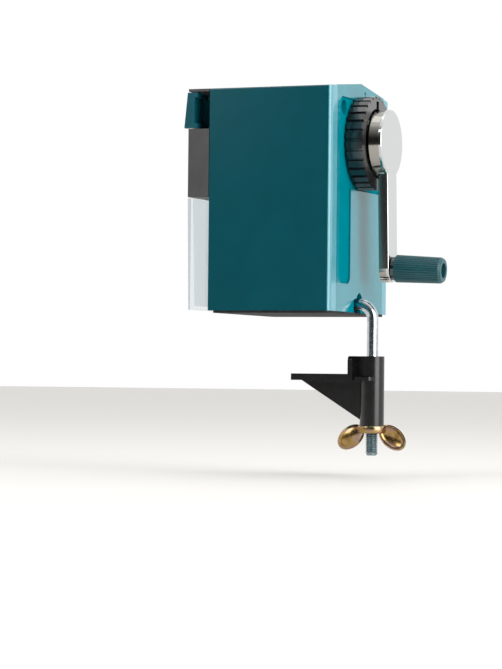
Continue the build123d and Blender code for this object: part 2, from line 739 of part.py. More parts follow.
with BuildPart() as crank_handle:
    with BuildSketch(handle_plane(HANDLE_ROOT)):
        gear_outline(HANDLE_RIBS, HANDLE_R - GROOVE_DEPTH, HANDLE_R, *GROOVE_SHARES, 0)
    with BuildSketch(handle_plane(HANDLE_END - 1.2)):
        gear_outline(HANDLE_RIBS, HANDLE_END_R - GROOVE_DEPTH, HANDLE_END_R, *GROOVE_SHARES, 0)
    loft(ruled=True)
    with BuildSketch(handle_plane(HANDLE_END - 1.2)):
        Circle(HANDLE_END_R)
    with BuildSketch(handle_plane(HANDLE_END)):
        Circle(HANDLE_END_R - 0.7)
    loft(ruled=True)
    with BuildSketch(handle_plane(EYE_FLOOR)):
        Circle(EYE_R)
    extrude(amount=10, mode=Mode.SUBTRACT)
    with BuildSketch(handle_plane(HANDLE_ROOT - 1)):
        Circle(BOLT_R + FIT)
    extrude(amount=HANDLE_LENGTH, mode=Mode.SUBTRACT)
save(crank_handle, "crank_handle")

# ---- feed carriage -----------------------------------------------------------
CARRIAGE_BACK = SHELL_FRONT - GAP
CARRIAGE_FOOT = 52.9
FACE_THICK = 3.0
CARRIAGE_WALL = 2.2
POCKET_LOW = 84.2
POCKET_HIGH = 101.3
POCKET_HALF = 23.0
POCKET_WALL = 1.5
PENCIL_R = 4.6
GUIDE_DISC_R = 17.0
JAW_WIDTH = 7.0
TONGUE_X = -29.6
TONGUE_THICK = 1.6
TONGUE_LOW = 90.0
TONGUE_HEIGHT = 5.0


def finger_pockets(wall, mode):
    """Draw the two side pockets of the finger grips, with a wall round them."""
    middle_z = (POCKET_LOW + POCKET_HIGH) / 2
    with Locations((-HALF, middle_z), (HALF, middle_z)):
        Rectangle(
            2 * (HALF - POCKET_HALF + wall), POCKET_HIGH - POCKET_LOW + 2 * wall, mode=mode
        )


with BuildPart() as feed_carriage:
    with BuildSketch(section(FRONT)):
        gable(HALF, CARRIAGE_FOOT, EAVE_Z, RIDGE_Z)
    extrude(amount=CARRIAGE_BACK - FRONT)
    # Hollow back, leaving a wall round each finger pocket.
    with BuildSketch(section(FRONT + FACE_THICK)):
        gable(
            HALF - CARRIAGE_WALL,
            CARRIAGE_FOOT + CARRIAGE_WALL,
            EAVE_Z - CARRIAGE_WALL,
            RIDGE_Z - CARRIAGE_WALL,
        )
        finger_pockets(POCKET_WALL, Mode.SUBTRACT)
    extrude(amount=BODY_LENGTH, mode=Mode.SUBTRACT)
    with BuildSketch(section(FRONT - 1)):
        finger_pockets(0, Mode.ADD)
    extrude(amount=BODY_LENGTH, mode=Mode.SUBTRACT)
    with BuildSketch(section(FRONT)):
        with Locations((0, AXIS_Z)):
            Circle(7)
        with Locations(*ROD_SPOTS):
            Circle(1.2)
    extrude(amount=FACE_THICK, mode=Mode.SUBTRACT)
    # Slots for the two tongues that reach in from the grips.
    with BuildSketch(Plane.XY.offset(TONGUE_LOW - GAP)):
        with Locations((TONGUE_X, 0)):
            Rectangle(TONGUE_THICK + 2 * GAP, 2 * (POCKET_HALF + 1))
            Rectangle(
                TONGUE_THICK + 3 * GAP,
                2 * (POCKET_HALF - POCKET_WALL - 1),
                mode=Mode.SUBTRACT,
            )
    extrude(amount=TONGUE_HEIGHT + 2 * GAP, mode=Mode.SUBTRACT)
save(feed_carriage, "feed_carriage")

with BuildPart() as pencil_bush:
    with BuildSketch(axis_plane(FRONT - 1.5)):
        Circle(9.5)
    extrude(amount=1.5)
    fillet(pencil_bush.edges().group_by(Axis.X)[0], radius=1.0)
    with BuildSketch(axis_plane(FRONT)):
        Circle(7)
    extrude(amount=FACE_THICK)
    with BuildSketch(axis_plane(FRONT - 2)):
        Circle(PENCIL_R)
    extrude(amount=10, mode=Mode.SUBTRACT)
save(pencil_bush, "pencil_bush")

# Guide disc with three radial channels, one for each jaw.
DISC_FRONT = FRONT + FACE_THICK
DISC_BACK = DISC_FRONT + 5.6
CHANNEL_FRONT = DISC_FRONT + 0.5
JAW_ANGLES = (90, 210, 330)
JAW_NAMES = ("upper_jaw", "left_jaw", "right_jaw")
JAW_CLOSED_R = 3.2
JAW_LENGTH = 8.5

with BuildPart() as jaw_guide:
    with BuildSketch(axis_plane(DISC_FRONT)):
        Circle(GUIDE_DISC_R)
    extrude(amount=DISC_BACK - DISC_FRONT)
    with BuildSketch(axis_plane(CHANNEL_FRONT)):
        with PolarLocations(8.1, 3, 90, 360, endpoint=False):
            Rectangle(16.2, JAW_WIDTH + 2 * 0.2)
    extrude(amount=BODY_LENGTH, mode=Mode.SUBTRACT)
    with BuildSketch(axis_plane(DISC_FRONT)):
        Circle(PENCIL_R + 0.4)
    extrude(amount=BODY_LENGTH, mode=Mode.SUBTRACT)
save(jaw_guide, "jaw_guide")

for jaw_angle, jaw_name in zip(JAW_ANGLES, JAW_NAMES):
    with BuildPart() as jaw:
        with BuildSketch(axis_plane(CHANNEL_FRONT + 0.2)):
            with PolarLocations(JAW_CLOSED_R + JAW_LENGTH / 2, 1, jaw_angle):
                Rectangle(JAW_LENGTH, JAW_WIDTH)
        extrude(amount=DISC_BACK - CHANNEL_FRONT - 0.4)
    save(jaw, jaw_name)

with BuildPart() as jaw_retainer:
    with BuildSketch(axis_plane(DISC_BACK)):
        Circle(GUIDE_DISC_R - 0.4)
        Circle(7.5, mode=Mode.SUBTRACT)
    extrude(amount=0.8)
save(jaw_retainer, "jaw_retainer")

# Guide rods, screwed to the carriage's face from the front.
ROD_END = 21.5
with BuildPart() as guide_rods:
    with BuildSketch(section(FRONT + FACE_THICK)):
        with Locations(*ROD_SPOTS):
            Circle(GUIDE_R)
            Circle(1.2, mode=Mode.SUBTRACT)
    extrude(amount=8)
    with BuildSketch(section(FRONT + FACE_THICK + 8)):
        with Locations(*ROD_SPOTS):
            Circle(GUIDE_R)
    extrude(amount=ROD_END - FRONT - FACE_THICK - 8)
save(guide_rods, "guide_rods")

with BuildPart() as rod_screws:
    with BuildSketch(section(FRONT - 1.2)):
        with Locations(*ROD_SPOTS):
            Circle(2.5)
    extrude(amount=1.2)
    with BuildSketch(section(FRONT)):
        with Locations(*ROD_SPOTS):
            Circle(1.15)
    extrude(amount=FACE_THICK + 6)
    with BuildSketch(section(FRONT - 1.5)):
        with Locations(*ROD_SPOTS):
            Rectangle(3.2, 0.7)
            Rectangle(0.7, 3.2)
    extrude(amount=0.9, mode=Mode.SUBTRACT)
save(rod_screws, "rod_screws")

# Return springs: one each side, hooked between the carriage and the bearing plate.
SPRING_WIRE = 0.35
SPRING_START = FRONT + FACE_THICK
SPRING_TURNS = 18


def coil(start, direction, length, radius, wire, turns):
    """Sweep one coil spring from a start point along a direction."""
    path = Helix(
        pitch=length / turns, height=length, radius=radius, center=start, direction=direction
    )
    profile_plane = Plane(origin=path @ 0, z_dir=path % 0)
    return sweep(profile_plane * Circle(wire), path=path, is_frenet=True)


spring_length = PLATE_FRONT - SPRING_START - 2 * SPRING_WIRE - 0.2
feed_coils = [
    coil(
        (SPRING_START + SPRING_WIRE + 0.1, side * ROD_Y, SPRING_Z),
        (1, 0, 0),
        spring_length,
        SPRING_R - SPRING_WIRE,
        SPRING_WIRE,
        SPRING_TURNS,
    )
    for side in (-1, 1)
]
with BuildPart() as feed_springs:
    add(feed_coils)
save(feed_springs, "feed_springs")

GRIP_SPRING_GAP = 0.3
GRIP_SPRING_Z = 88.2
GRIP_SPRING_R = 1.2
GRIP_SPRING_WIRE = 0.2
GRIP_SPRING_TURNS = 4

# ---- finger grips ------------------------------------------------------------
GRIP_LOW = 84.6
GRIP_HIGH = 100.9
GRIP_INNER = 27.2
GRIP_TRAVEL = 3.0
LEG = 2.2
GRIP_BACK = -28.2
LUG_BACK = FRONT + 4.3
SLAB_BACK = FRONT + 2.9
GRIP_TOP_X = FRONT - 0.5
GRIP_FOOT_X = FRONT - 2.1

for side, side_name in ((-1, "near"), (1, "far")):
    with BuildPart() as grip:
        with BuildSketch(Plane.XZ.offset(-side * GRIP_INNER)):
            Polygon(
                (GRIP_TOP_X, GRIP_HIGH),
                (GRIP_FOOT_X, GRIP_LOW),
                (LUG_BACK, GRIP_LOW),
                (LUG_BACK, GRIP_LOW + LEG),
                (SLAB_BACK, GRIP_LOW + LEG),
                (SLAB_BACK, GRIP_HIGH - LEG),
                (LUG_BACK, GRIP_HIGH - LEG),
                (LUG_BACK, GRIP_HIGH),
                align=None,
            )
        extrude(amount=-side * (HALF - GRIP_INNER))
        # Closed inner end, with the tongue that works the jaws.
        with BuildSketch(Plane.XZ.offset(-side * GRIP_INNER)):
            Polygon(
                (SLAB_BACK, GRIP_LOW + LEG),
                (GRIP_BACK, GRIP_LOW + LEG),
                (GRIP_BACK, GRIP_HIGH - LEG),
                (SLAB_BACK, GRIP_HIGH - LEG),
                align=None,
            )
        extrude(amount=-side * 1.4)
        with BuildSketch(Plane.XZ.offset(-side * (GRIP_INNER + 0.5))):
            with Locations((TONGUE_X, TONGUE_LOW + TONGUE_HEIGHT / 2)):
                Rectangle(TONGUE_THICK, TONGUE_HEIGHT)
        extrude(amount=side * (GRIP_INNER + 0.5 - 19.5))
    save(grip, f"{side_name}_grip")

    grip_coil = coil(
        (GRIP_BACK - 4.4, side * (POCKET_HALF + GRIP_SPRING_GAP), GRIP_SPRING_Z),
        (0, side, 0),
        GRIP_INNER - POCKET_HALF - 2 * GRIP_SPRING_GAP,
        GRIP_SPRING_R,
        GRIP_SPRING_WIRE,
        GRIP_SPRING_TURNS,
    )
    with BuildPart() as grip_spring:
        add(grip_coil)
    save(grip_spring, f"{side_name}_grip_spring")

# ---- shavings drawer ---------------------------------------------------------
DRAWER_TOP = 52.4
DRAWER_FLOOR = 4.0
DRAWER_REAR = 16.0
DRAWER_HALF = INNER_HALF - 0.95
DRAWER_WALL = 1.8
DRAWER_LEAN = 0.8
HEAD_FOOT = 1.3

with BuildPart() as shavings_drawer:
    # Head: as wide as the housing, its front leaning in a little at the foot.
    with BuildSketch(Plane.XZ.offset(-HALF)):
        Polygon(
            (FRONT, DRAWER_TOP),
            (FRONT + DRAWER_LEAN, HEAD_FOOT),
            (CARRIAGE_BACK, HEAD_FOOT),
            (CARRIAGE_BACK, DRAWER_TOP),
            align=None,
        )
    extrude(amount=BODY_WIDTH)
    with BuildSketch(Plane.XY.offset(DRAWER_FLOOR)):
        with Locations(((FRONT + 2 + DRAWER_REAR) / 2, 0)):
            Rectangle(DRAWER_REAR - FRONT - 2, 2 * DRAWER_HALF)
    extrude(amount=DRAWER_TOP - DRAWER_FLOOR)
    fillet(shavings_drawer.edges().filter_by(Axis.Z).group_by(Axis.X)[-1], radius=3)
    # Inside of the head, then of the tray behind it.
    with BuildSketch(Plane.XZ.offset(-(HALF - DRAWER_WALL))):
        Polygon(
            (FRONT + DRAWER_WALL, DRAWER_TOP + 1),
            (FRONT + DRAWER_WALL + DRAWER_LEAN + 0.5, HEAD_FOOT + DRAWER_WALL),
            (CARRIAGE_BACK - DRAWER_WALL, HEAD_FOOT + DRAWER_WALL),
            (CARRIAGE_BACK - DRAWER_WALL, DRAWER_TOP + 1),
            align=None,
        )
    extrude(amount=BODY_WIDTH - 2 * DRAWER_WALL, mode=Mode.SUBTRACT)
    with BuildSketch(Plane.XY.offset(DRAWER_FLOOR + DRAWER_WALL)):
        with Locations(((FRONT + 4 + DRAWER_REAR - DRAWER_WALL) / 2, 0)):
            Rectangle(
                DRAWER_REAR - DRAWER_WALL - FRONT - 4, 2 * (DRAWER_HALF - DRAWER_WALL)
            )
    extrude(amount=DRAWER_TOP, mode=Mode.SUBTRACT)
    # Half-moon catch notch in each side of the head.
    with BuildSketch(Plane.XZ.offset(-BODY_WIDTH)):
        with Locations((CARRIAGE_BACK, 25)):
            Ellipse(0.9, 3.0)
    extrude(amount=2 * BODY_WIDTH, mode=Mode.SUBTRACT)
save(shavings_drawer, "shavings_drawer")

# ---- table clamp -------------------------------------------------------------
LEG_TOP_Z = BOLT_Z - BEND_R
THREAD_TOP_Z = -23.0
with BuildPart() as hook_bolt:
    with BuildLine() as bolt_path:
        Line((SOCKET_FRONT + 1.2, 0, BOLT_Z), (CLAMP_X - BEND_R, 0, BOLT_Z))
        ThreePointArc(
            (CLAMP_X - BEND_R, 0, BOLT_Z),
            (CLAMP_X - BEND_R * (1 - sqrt(0.5)), 0, LEG_TOP_Z + BEND_R * sqrt(0.5)),
            (CLAMP_X, 0, LEG_TOP_Z),
        )
        Line((CLAMP_X, 0, LEG_TOP_Z), (CLAMP_X, 0, THREAD_TOP_Z))
    with BuildSketch(section(SOCKET_FRONT + 1.2)):
        with Locations((0, BOLT_Z)):
            Circle(ROD_R)
    sweep()
    with BuildSketch(Plane.XY.offset(BOLT_TIP_Z)):
        with Locations((CLAMP_X, 0)):
            Circle(THREAD_R)
    extrude(amount=THREAD_TOP_Z - BOLT_TIP_Z)
    chamfer(hook_bolt.edges().group_by(Axis.Z)[0], length=0.7)
save(hook_bolt, "hook_bolt")

COLUMN_R = 5.6
COLUMN_TOP_Z = -19.1
COLUMN_FOOT_Z = -51.0
FLANGE_TOP_Z = -TABLE_THICK
FLANGE_THICK = 3.0
FLANGE_LENGTH = 27.7
BRACKET_HALF = 12.0
EDGE_PLATE = 2.2
BLOCK_FOOT_Z = -30.0
BORE_R = THREAD_R + 0.15

with BuildPart() as clamp_bracket:
    with BuildSketch(Plane.XY.offset(COLUMN_FOOT_Z)):
        with Locations((CLAMP_X, 0)):
            Circle(COLUMN_R)
    extrude(amount=COLUMN_TOP_Z - COLUMN_FOOT_Z)
    # Edge plate and the block that ties it to the column.
    with BuildSketch(Plane.XY.offset(BLOCK_FOOT_Z)):
        with Locations((TABLE_EDGE_X + EDGE_PLATE / 2, 0)):
            Rectangle(EDGE_PLATE, 2 * BRACKET_HALF)
        with Locations(((TABLE_EDGE_X + CLAMP_X) / 2, 0)):
            Rectangle(CLAMP_X - TABLE_EDGE_X, 2 * COLUMN_R)
    extrude(amount=COLUMN_TOP_Z - BLOCK_FOOT_Z)
    plate_corners = (
        clamp_bracket.edges().filter_by(Axis.X).filter_by(
            lambda edge: abs(abs(edge.center().Y) - BRACKET_HALF) < 0.01
        ).group_by(Axis.Z)[-1]
    )
    fillet(plate_corners, radius=2.2)
    # Flange under the table top, with its ledge running back round the column.
    with BuildSketch(Plane.XY.offset(FLANGE_TOP_Z - FLANGE_THICK)):
        with Locations((TABLE_EDGE_X + EDGE_PLATE - FLANGE_LENGTH / 2 - EDGE_PLATE / 2, 0)):
            Rectangle(FLANGE_LENGTH + EDGE_PLATE, 2 * BRACKET_HALF)
    extrude(amount=FLANGE_THICK)
    with BuildSketch(Plane.XY.offset(BLOCK_FOOT_Z - 0.3)):
        with Locations((TABLE_EDGE_X + 5.2, 0)):
            RectangleRounded(10.4, 2 * (BRACKET_HALF - 1.6), 1.5)
    extrude(amount=1.7)
    # Gusset web from the flange down to the column.
    with BuildSketch(Plane.XZ.offset(-1.5)):
        Polygon(
            (TABLE_EDGE_X - 26.4, FLANGE_TOP_Z - FLANGE_THICK + 0.5),
            (TABLE_EDGE_X - 26.4, FLANGE_TOP_Z - FLANGE_THICK),
            (CLAMP_X - COLUMN_R + 1, COLUMN_FOOT_Z + 2.2),
            (CLAMP_X, COLUMN_FOOT_Z + 6),
            (CLAMP_X, FLANGE_TOP_Z - FLANGE_THICK + 0.5),
            align=None,
        )
    extrude(amount=3.0)
    with BuildSketch(Plane.XY.offset(COLUMN_FOOT_Z - 1)):
        with Locations((CLAMP_X, 0)):
            Circle(BORE_R)
    extrude(amount=60, mode=Mode.SUBTRACT)
save(clamp_bracket, "clamp_bracket")

# Pressed wing nut, hung upside down under the column.
NUT_TOP_Z = COLUMN_FOOT_Z
NUT_FOOT_Z = NUT_TOP_Z - 3.4
NUT_R = 6.8
WING_SPAN = 31.0
WING_THICK = 1.6
WING_DROOP = 11.2

with BuildPart() as wing_nut:
    with BuildSketch(Plane.XY.offset(NUT_FOOT_Z)):
        with Locations((CLAMP_X, 0)):
            Circle(NUT_R)
    extrude(amount=NUT_TOP_Z - NUT_FOOT_Z)
    for side in (-1, 1):
        inner_x = CLAMP_X + side * (NUT_R - 1.5)
        shoulder_x = CLAMP_X + side * NUT_R
        tip_x = CLAMP_X + side * WING_SPAN / 2
        with BuildSketch(Plane.XZ.offset(-WING_THICK / 2)):
            with BuildLine():
                Line((inner_x, NUT_TOP_Z - 0.1), (shoulder_x, NUT_TOP_Z - 0.1))
                ThreePointArc(
                    (shoulder_x, NUT_TOP_Z - 0.1),
                    (CLAMP_X + side * 12.6, NUT_TOP_Z - 4.4),
                    (tip_x, NUT_TOP_Z - WING_DROOP),
                )
                ThreePointArc(
                    (tip_x, NUT_TOP_Z - WING_DROOP),
                    (CLAMP_X + side * 9.6, NUT_TOP_Z - 9.6),
                    (inner_x, NUT_FOOT_Z - 0.6),
                )
                Line((inner_x, NUT_FOOT_Z - 0.6), (inner_x, NUT_TOP_Z - 0.1))
            make_face()
        extrude(amount=WING_THICK)
    with BuildSketch(Plane.XY.offset(NUT_FOOT_Z - 12)):
        with Locations((CLAMP_X, 0)):
            Circle(THREAD_R + THREAD_SLACK)
    extrude(amount=CUT_THROUGH, mode=Mode.SUBTRACT)
save(wing_nut, "wing_nut")
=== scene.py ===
import json
from math import cos, pi, radians, sin

import bpy
from mathutils import Matrix, Vector


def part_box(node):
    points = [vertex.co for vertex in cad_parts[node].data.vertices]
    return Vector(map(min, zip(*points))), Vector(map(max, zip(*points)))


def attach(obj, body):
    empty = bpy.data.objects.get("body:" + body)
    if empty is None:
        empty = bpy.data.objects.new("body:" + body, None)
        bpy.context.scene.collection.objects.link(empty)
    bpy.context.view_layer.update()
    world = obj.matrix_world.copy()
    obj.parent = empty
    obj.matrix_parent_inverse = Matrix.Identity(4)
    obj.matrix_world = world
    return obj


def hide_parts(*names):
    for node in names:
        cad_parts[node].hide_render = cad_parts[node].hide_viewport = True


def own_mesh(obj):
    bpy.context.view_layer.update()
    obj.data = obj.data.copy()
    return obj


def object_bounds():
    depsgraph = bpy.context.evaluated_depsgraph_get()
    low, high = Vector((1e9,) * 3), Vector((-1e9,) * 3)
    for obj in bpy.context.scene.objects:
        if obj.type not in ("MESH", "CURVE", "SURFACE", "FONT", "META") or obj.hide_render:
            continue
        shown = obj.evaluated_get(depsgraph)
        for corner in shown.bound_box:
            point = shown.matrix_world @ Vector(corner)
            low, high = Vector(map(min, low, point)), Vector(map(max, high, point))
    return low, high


bl_info = {
    "name": "Desk pencil sharpener",
    "version": (1, 0, 0),
    "blender": (4, 5, 0),
    "location": "3D View > Sidebar > Sharpener",
    "description": "Finishes and small metal parts for a hand-cranked desk pencil sharpener",
    "category": "Object",
}

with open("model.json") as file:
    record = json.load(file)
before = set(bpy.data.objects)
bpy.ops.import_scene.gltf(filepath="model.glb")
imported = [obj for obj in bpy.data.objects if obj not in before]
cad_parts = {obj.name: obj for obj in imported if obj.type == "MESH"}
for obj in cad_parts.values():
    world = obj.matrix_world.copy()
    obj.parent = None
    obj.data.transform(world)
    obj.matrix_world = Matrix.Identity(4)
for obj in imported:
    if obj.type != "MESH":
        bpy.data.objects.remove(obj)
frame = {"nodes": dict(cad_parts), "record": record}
CAD_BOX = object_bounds()
MM = 0.001


# ---- sizes read from the frame ------------------------------------------------
def low(node):
    """Return the lowest corner of a CAD node."""
    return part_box(node)[0]


def high(node):
    """Return the highest corner of a CAD node."""
    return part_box(node)[1]


def middle(node):
    """Return the middle of a CAD node's box."""
    return (low(node) + high(node)) / 2


# Planes across X that part one finish from the next.
PANEL_FACE_X = high("housing_shell").x - 0.3 * MM
# Beyond this plane the shell's rim is polished, and its pale tones there are a painted reflection
# of the bright wall.
RIM_FACE_X = high("housing_shell").x - 1.4 * MM
CRANK_FACE_X = high("crank_arm").x - 1.3 * MM
FRONT_WALL_X = low("shavings_drawer").x + 1.7 * MM

# Hook bolt: a short leg along X, a bend, and a long leg down through the clamp.
THREAD_R = (high("hook_bolt").y - low("hook_bolt").y) / 2
ROD_R = THREAD_R - 0.35 * MM
CLAMP_X = high("hook_bolt").x - THREAD_R
BOLT_START_X = low("hook_bolt").x
BOLT_Z = high("hook_bolt").z - ROD_R
BOLT_TIP_Z = low("hook_bolt").z
THREAD_TOP_Z = -23.0 * MM
BEND_R = 7.0 * MM
BEND_X = CLAMP_X - BEND_R

# Thread's form, as shares of its pitch.
THREAD_DEPTH = 0.7
CREST_R = 0.5
CREST_STRETCH = 1.1
CREST_START = 0.9
TIP_TAPER = 0.5

# Wing nut: a round collar, with wings that reach the ends of the CAD node's box.
NUT_TOP_Z = high("wing_nut").z
NUT_HEIGHT = 3.6 * MM
NUT_R = 6.6 * MM
NUT_EDGE = 0.8 * MM
NUT_CLEARANCE = 0.08 * MM
WING_ROOT_X = 4.6 * MM
WING_ROOT_Z = NUT_TOP_Z - 1.2 * MM
WING_TIP_X = (high("wing_nut").x - low("wing_nut").x) / 2
WING_TIP_Z = low("wing_nut").z + 1.6 * MM
WING_SHEET = 0.9 * MM
WING_RIM = 0.3 * MM

# Stage: a wide floor under the clamp, and a room that is dim beyond one end.
FLOOR_SIDE = 16.0
FLOOR_DROP = 10.0 * MM
FLOOR_DIM_Y = -0.95
WALL_DIM_Y = -0.75
WALL_LIT_Y = -0.4
WALL_DIM_STRENGTH = 0.03
WALL_LIT_STRENGTH = 1.08
SKY_FALLOFF = 2.5


# ---- small helpers ------------------------------------------------------------
def linear(hex_colour):
    """Turn an sRGB hex string into a linear RGBA colour."""
    channels = [int(hex_colour[i:i + 2], 16) / 255 for i in (1, 3, 5)]
    curve = [c / 12.92 if c <= 0.04045 else ((c + 0.055) / 1.055) ** 2.4 for c in channels]
    return (*curve, 1.0)


def fill_inputs(node, inputs):
    """Set each input to a value, or link it to another node's socket."""
    for name, value in inputs.items():
        if isinstance(value, bpy.types.NodeSocket):
            node.id_data.links.new(value, node.inputs[name])
        else:
            node.inputs[name].default_value = value


def add_node(tree, kind, inputs=None, **settings):
    """Add one node with its settings and its inputs."""
    node = tree.nodes.new(kind)
    for name, value in settings.items():
        setattr(node, name, value)
    fill_inputs(node, inputs or {})
    return node


def new_material(name):
    """Start a material and return it with its node tree and its principled shader."""
    material = bpy.data.materials.new(name)
    material.use_nodes = True
    tree = material.node_tree
    return material, tree, tree.nodes["Principled BSDF"]


def object_coordinates(tree):
    """Return the object coordinate socket that every pattern reads."""
    return add_node(tree, "ShaderNodeTexCoord").outputs["Object"]


def beyond_x(tree, edge_x):
    """Return 1 on the side of a plane across X that faces the crank, and 0 on the other."""
    place = add_node(tree, "ShaderNodeSeparateXYZ", {"Vector": object_coordinates(tree)})
    return add_node(
        tree, "ShaderNodeMath", {0: place.outputs["X"], 1: edge_x}, operation="GREATER_THAN"
    ).outputs["Value"]


def clouds(tree, size_mm, detail, lowest=0.0, highest=1.0):
    """Return clouds about size_mm across that run from lowest to highest."""
    noise = add_node(
        tree, "ShaderNodeTexNoise",
        {"Vector": object_coordinates(tree), "Scale": 1.0 / (size_mm * MM), "Detail": detail},
    )
    return add_node(
        tree, "ShaderNodeMapRange",
        {"Value": noise.outputs["Fac"], "From Min": 0.3, "From Max": 0.7,
         "To Min": lowest, "To Max": highest},
    ).outputs["Result"]


def clouded_colour(tree, size_mm, detail, tones):
    """Return a colour that drifts between two tones in clouds about size_mm across."""
    return add_node(
        tree, "ShaderNodeMix",
        {"Factor": clouds(tree, size_mm, detail), "A": tones[0], "B": tones[1]},
        data_type="RGBA",
    ).outputs["Result"]


def grained_normal(tree, size_mm, detail, depth_mm):
    """Return the normal of a surface with grains about size_mm across and depth_mm deep."""
    noise = add_node(
        tree, "ShaderNodeTexNoise",
        {"Vector": object_coordinates(tree), "Scale": 1.0 / (size_mm * MM), "Detail": detail},
    )
    return add_node(
        tree, "ShaderNodeBump", {"Height": noise.outputs["Fac"], "Distance": depth_mm * MM}
    ).outputs["Normal"]


# ---- materials ----------------------------------------------------------------
def moulded_abs(name, tones, roughness, grain_mm, depth_mm):
    """Injection moulded ABS: dense colour under an even satin skin with a fine spark texture."""
    material, tree, shader = new_material(name)
    fill_inputs(shader, {
        "Base Color": clouded_colour(tree, size_mm=9.0, detail=3.0, tones=tones),
        "Roughness": clouds(
            tree, size_mm=grain_mm, detail=4.0,
            lowest=roughness - 0.04, highest=roughness + 0.04,
        ),
        "IOR": 1.58,
        "Normal": grained_normal(tree, size_mm=grain_mm, detail=4.0, depth_mm=depth_mm),
    })
    return material


def polished_abs(name, edge_x, face_tones, rest_tones, roughness, specular):
    """ABS with a polished face beyond edge_x and a spark textured skin behind it."""
    material, tree, shader = new_material(name)
    polished = beyond_x(tree, edge_x)
    # On the shell's rim the face tones are a painted reflection; on the rear panel they are the
    # panel's own colour.
    colour = add_node(
        tree, "ShaderNodeMix",
        {"Factor": polished,
         "A": clouded_colour(tree, size_mm=12.0, detail=3.0, tones=rest_tones),
         "B": clouded_colour(tree, size_mm=12.0, detail=3.0, tones=face_tones)},
        data_type="RGBA",
    ).outputs["Result"]
    gloss, shine = (
        add_node(
            tree, "ShaderNodeMapRange", {"Value": polished, "To Min": behind, "To Max": ahead}
        ).outputs["Result"]
        for behind, ahead in ((roughness, 0.13), (specular, 0.5))
    )
    spark = add_node(
        tree, "ShaderNodeTexNoise",
        {"Vector": object_coordinates(tree), "Scale": 1.0 / (0.35 * MM), "Detail": 4.0},
    ).outputs["Fac"]
    matt = add_node(
        tree, "ShaderNodeMath", {0: 1.0, 1: polished}, operation="SUBTRACT"
    ).outputs["Value"]
    height = add_node(
        tree, "ShaderNodeMath", {0: spark, 1: matt}, operation="MULTIPLY"
    ).outputs["Value"]
    texture = add_node(
        tree, "ShaderNodeBump", {"Height": height, "Distance": 0.05 * roughness * MM}
    ).outputs["Normal"]
    fill_inputs(shader, {
        "Base Color": colour, "Roughness": gloss, "Specular IOR Level": shine,
        "IOR": 1.6, "Normal": texture,
    })
    return material


def plated_chrome():
    """Chrome plate on pressed steel: a bright polished face over duller, drawn walls."""
    material, tree, shader = new_material("plated_chrome")
    face = beyond_x(tree, CRANK_FACE_X)
    colour = add_node(
        tree, "ShaderNodeMix", {"Factor": face, "A": linear("#A3A09A"), "B": linear("#C9CCCB")},
        data_type="RGBA",
    )
    drawn = add_node(
        tree, "ShaderNodeMapRange", {"Value": face, "To Min": 0.11, "To Max": 0.05}
    )
    fill_inputs(shader, {
        "Base Color": colour.outputs["Result"],
        "Metallic": 1.0,
        "Roughness": drawn.outputs["Result"],
        "Normal": grained_normal(tree, size_mm=1.6, detail=2.0, depth_mm=0.002),
    })
    return material


def bright_zinc():
    """Bright zinc plate on drawn rod: silvery, a little blue, softer than chrome."""
    material, tree, shader = new_material("bright_zinc_plate")
    fill_inputs(shader, {
        "Base Color": clouded_colour(
            tree, size_mm=3.0, detail=4.0, tones=(linear("#B4BCC2"), linear("#CFD5D9"))
        ),
        "Metallic": 1.0,
        "Roughness": clouds(tree, size_mm=0.8, detail=3.0, lowest=0.10, highest=0.22),
        "Normal": grained_normal(tree, size_mm=0.5, detail=2.0, depth_mm=0.004),
    })
    return material


def yellow_zinc():
    """Yellow passivated zinc on pressed steel: gold that drifts to pink and green."""
    material, tree, shader = new_material("yellow_passivated_zinc")
    drift = add_node(
        tree, "ShaderNodeTexNoise",
        {"Vector": object_coordinates(tree), "Scale": 1.0 / (7.0 * MM), "Detail": 2.0,
         "Distortion": 0.8},
    )
    ramp = add_node(tree, "ShaderNodeValToRGB", {"Fac": drift.outputs["Fac"]})
    stops = (
        (0.30, "#8E6E42"), (0.42, "#B0935C"), (0.50, "#A88580"), (0.58, "#AC9C6C"),
        (0.70, "#7F845A"),
    )
    while len(ramp.color_ramp.elements) < len(stops):
        ramp.color_ramp.elements.new(0.5)
    for element, (place, colour) in zip(ramp.color_ramp.elements, stops):
        element.position = place
        element.color = linear(colour)
    fill_inputs(shader, {
        "Base Color": ramp.outputs["Color"],
        "Metallic": 1.0,
        "Roughness": clouds(tree, size_mm=0.9, detail=3.0, lowest=0.16, highest=0.30),
        "Normal": grained_normal(tree, size_mm=0.7, detail=2.0, depth_mm=0.006),
    })
    return material


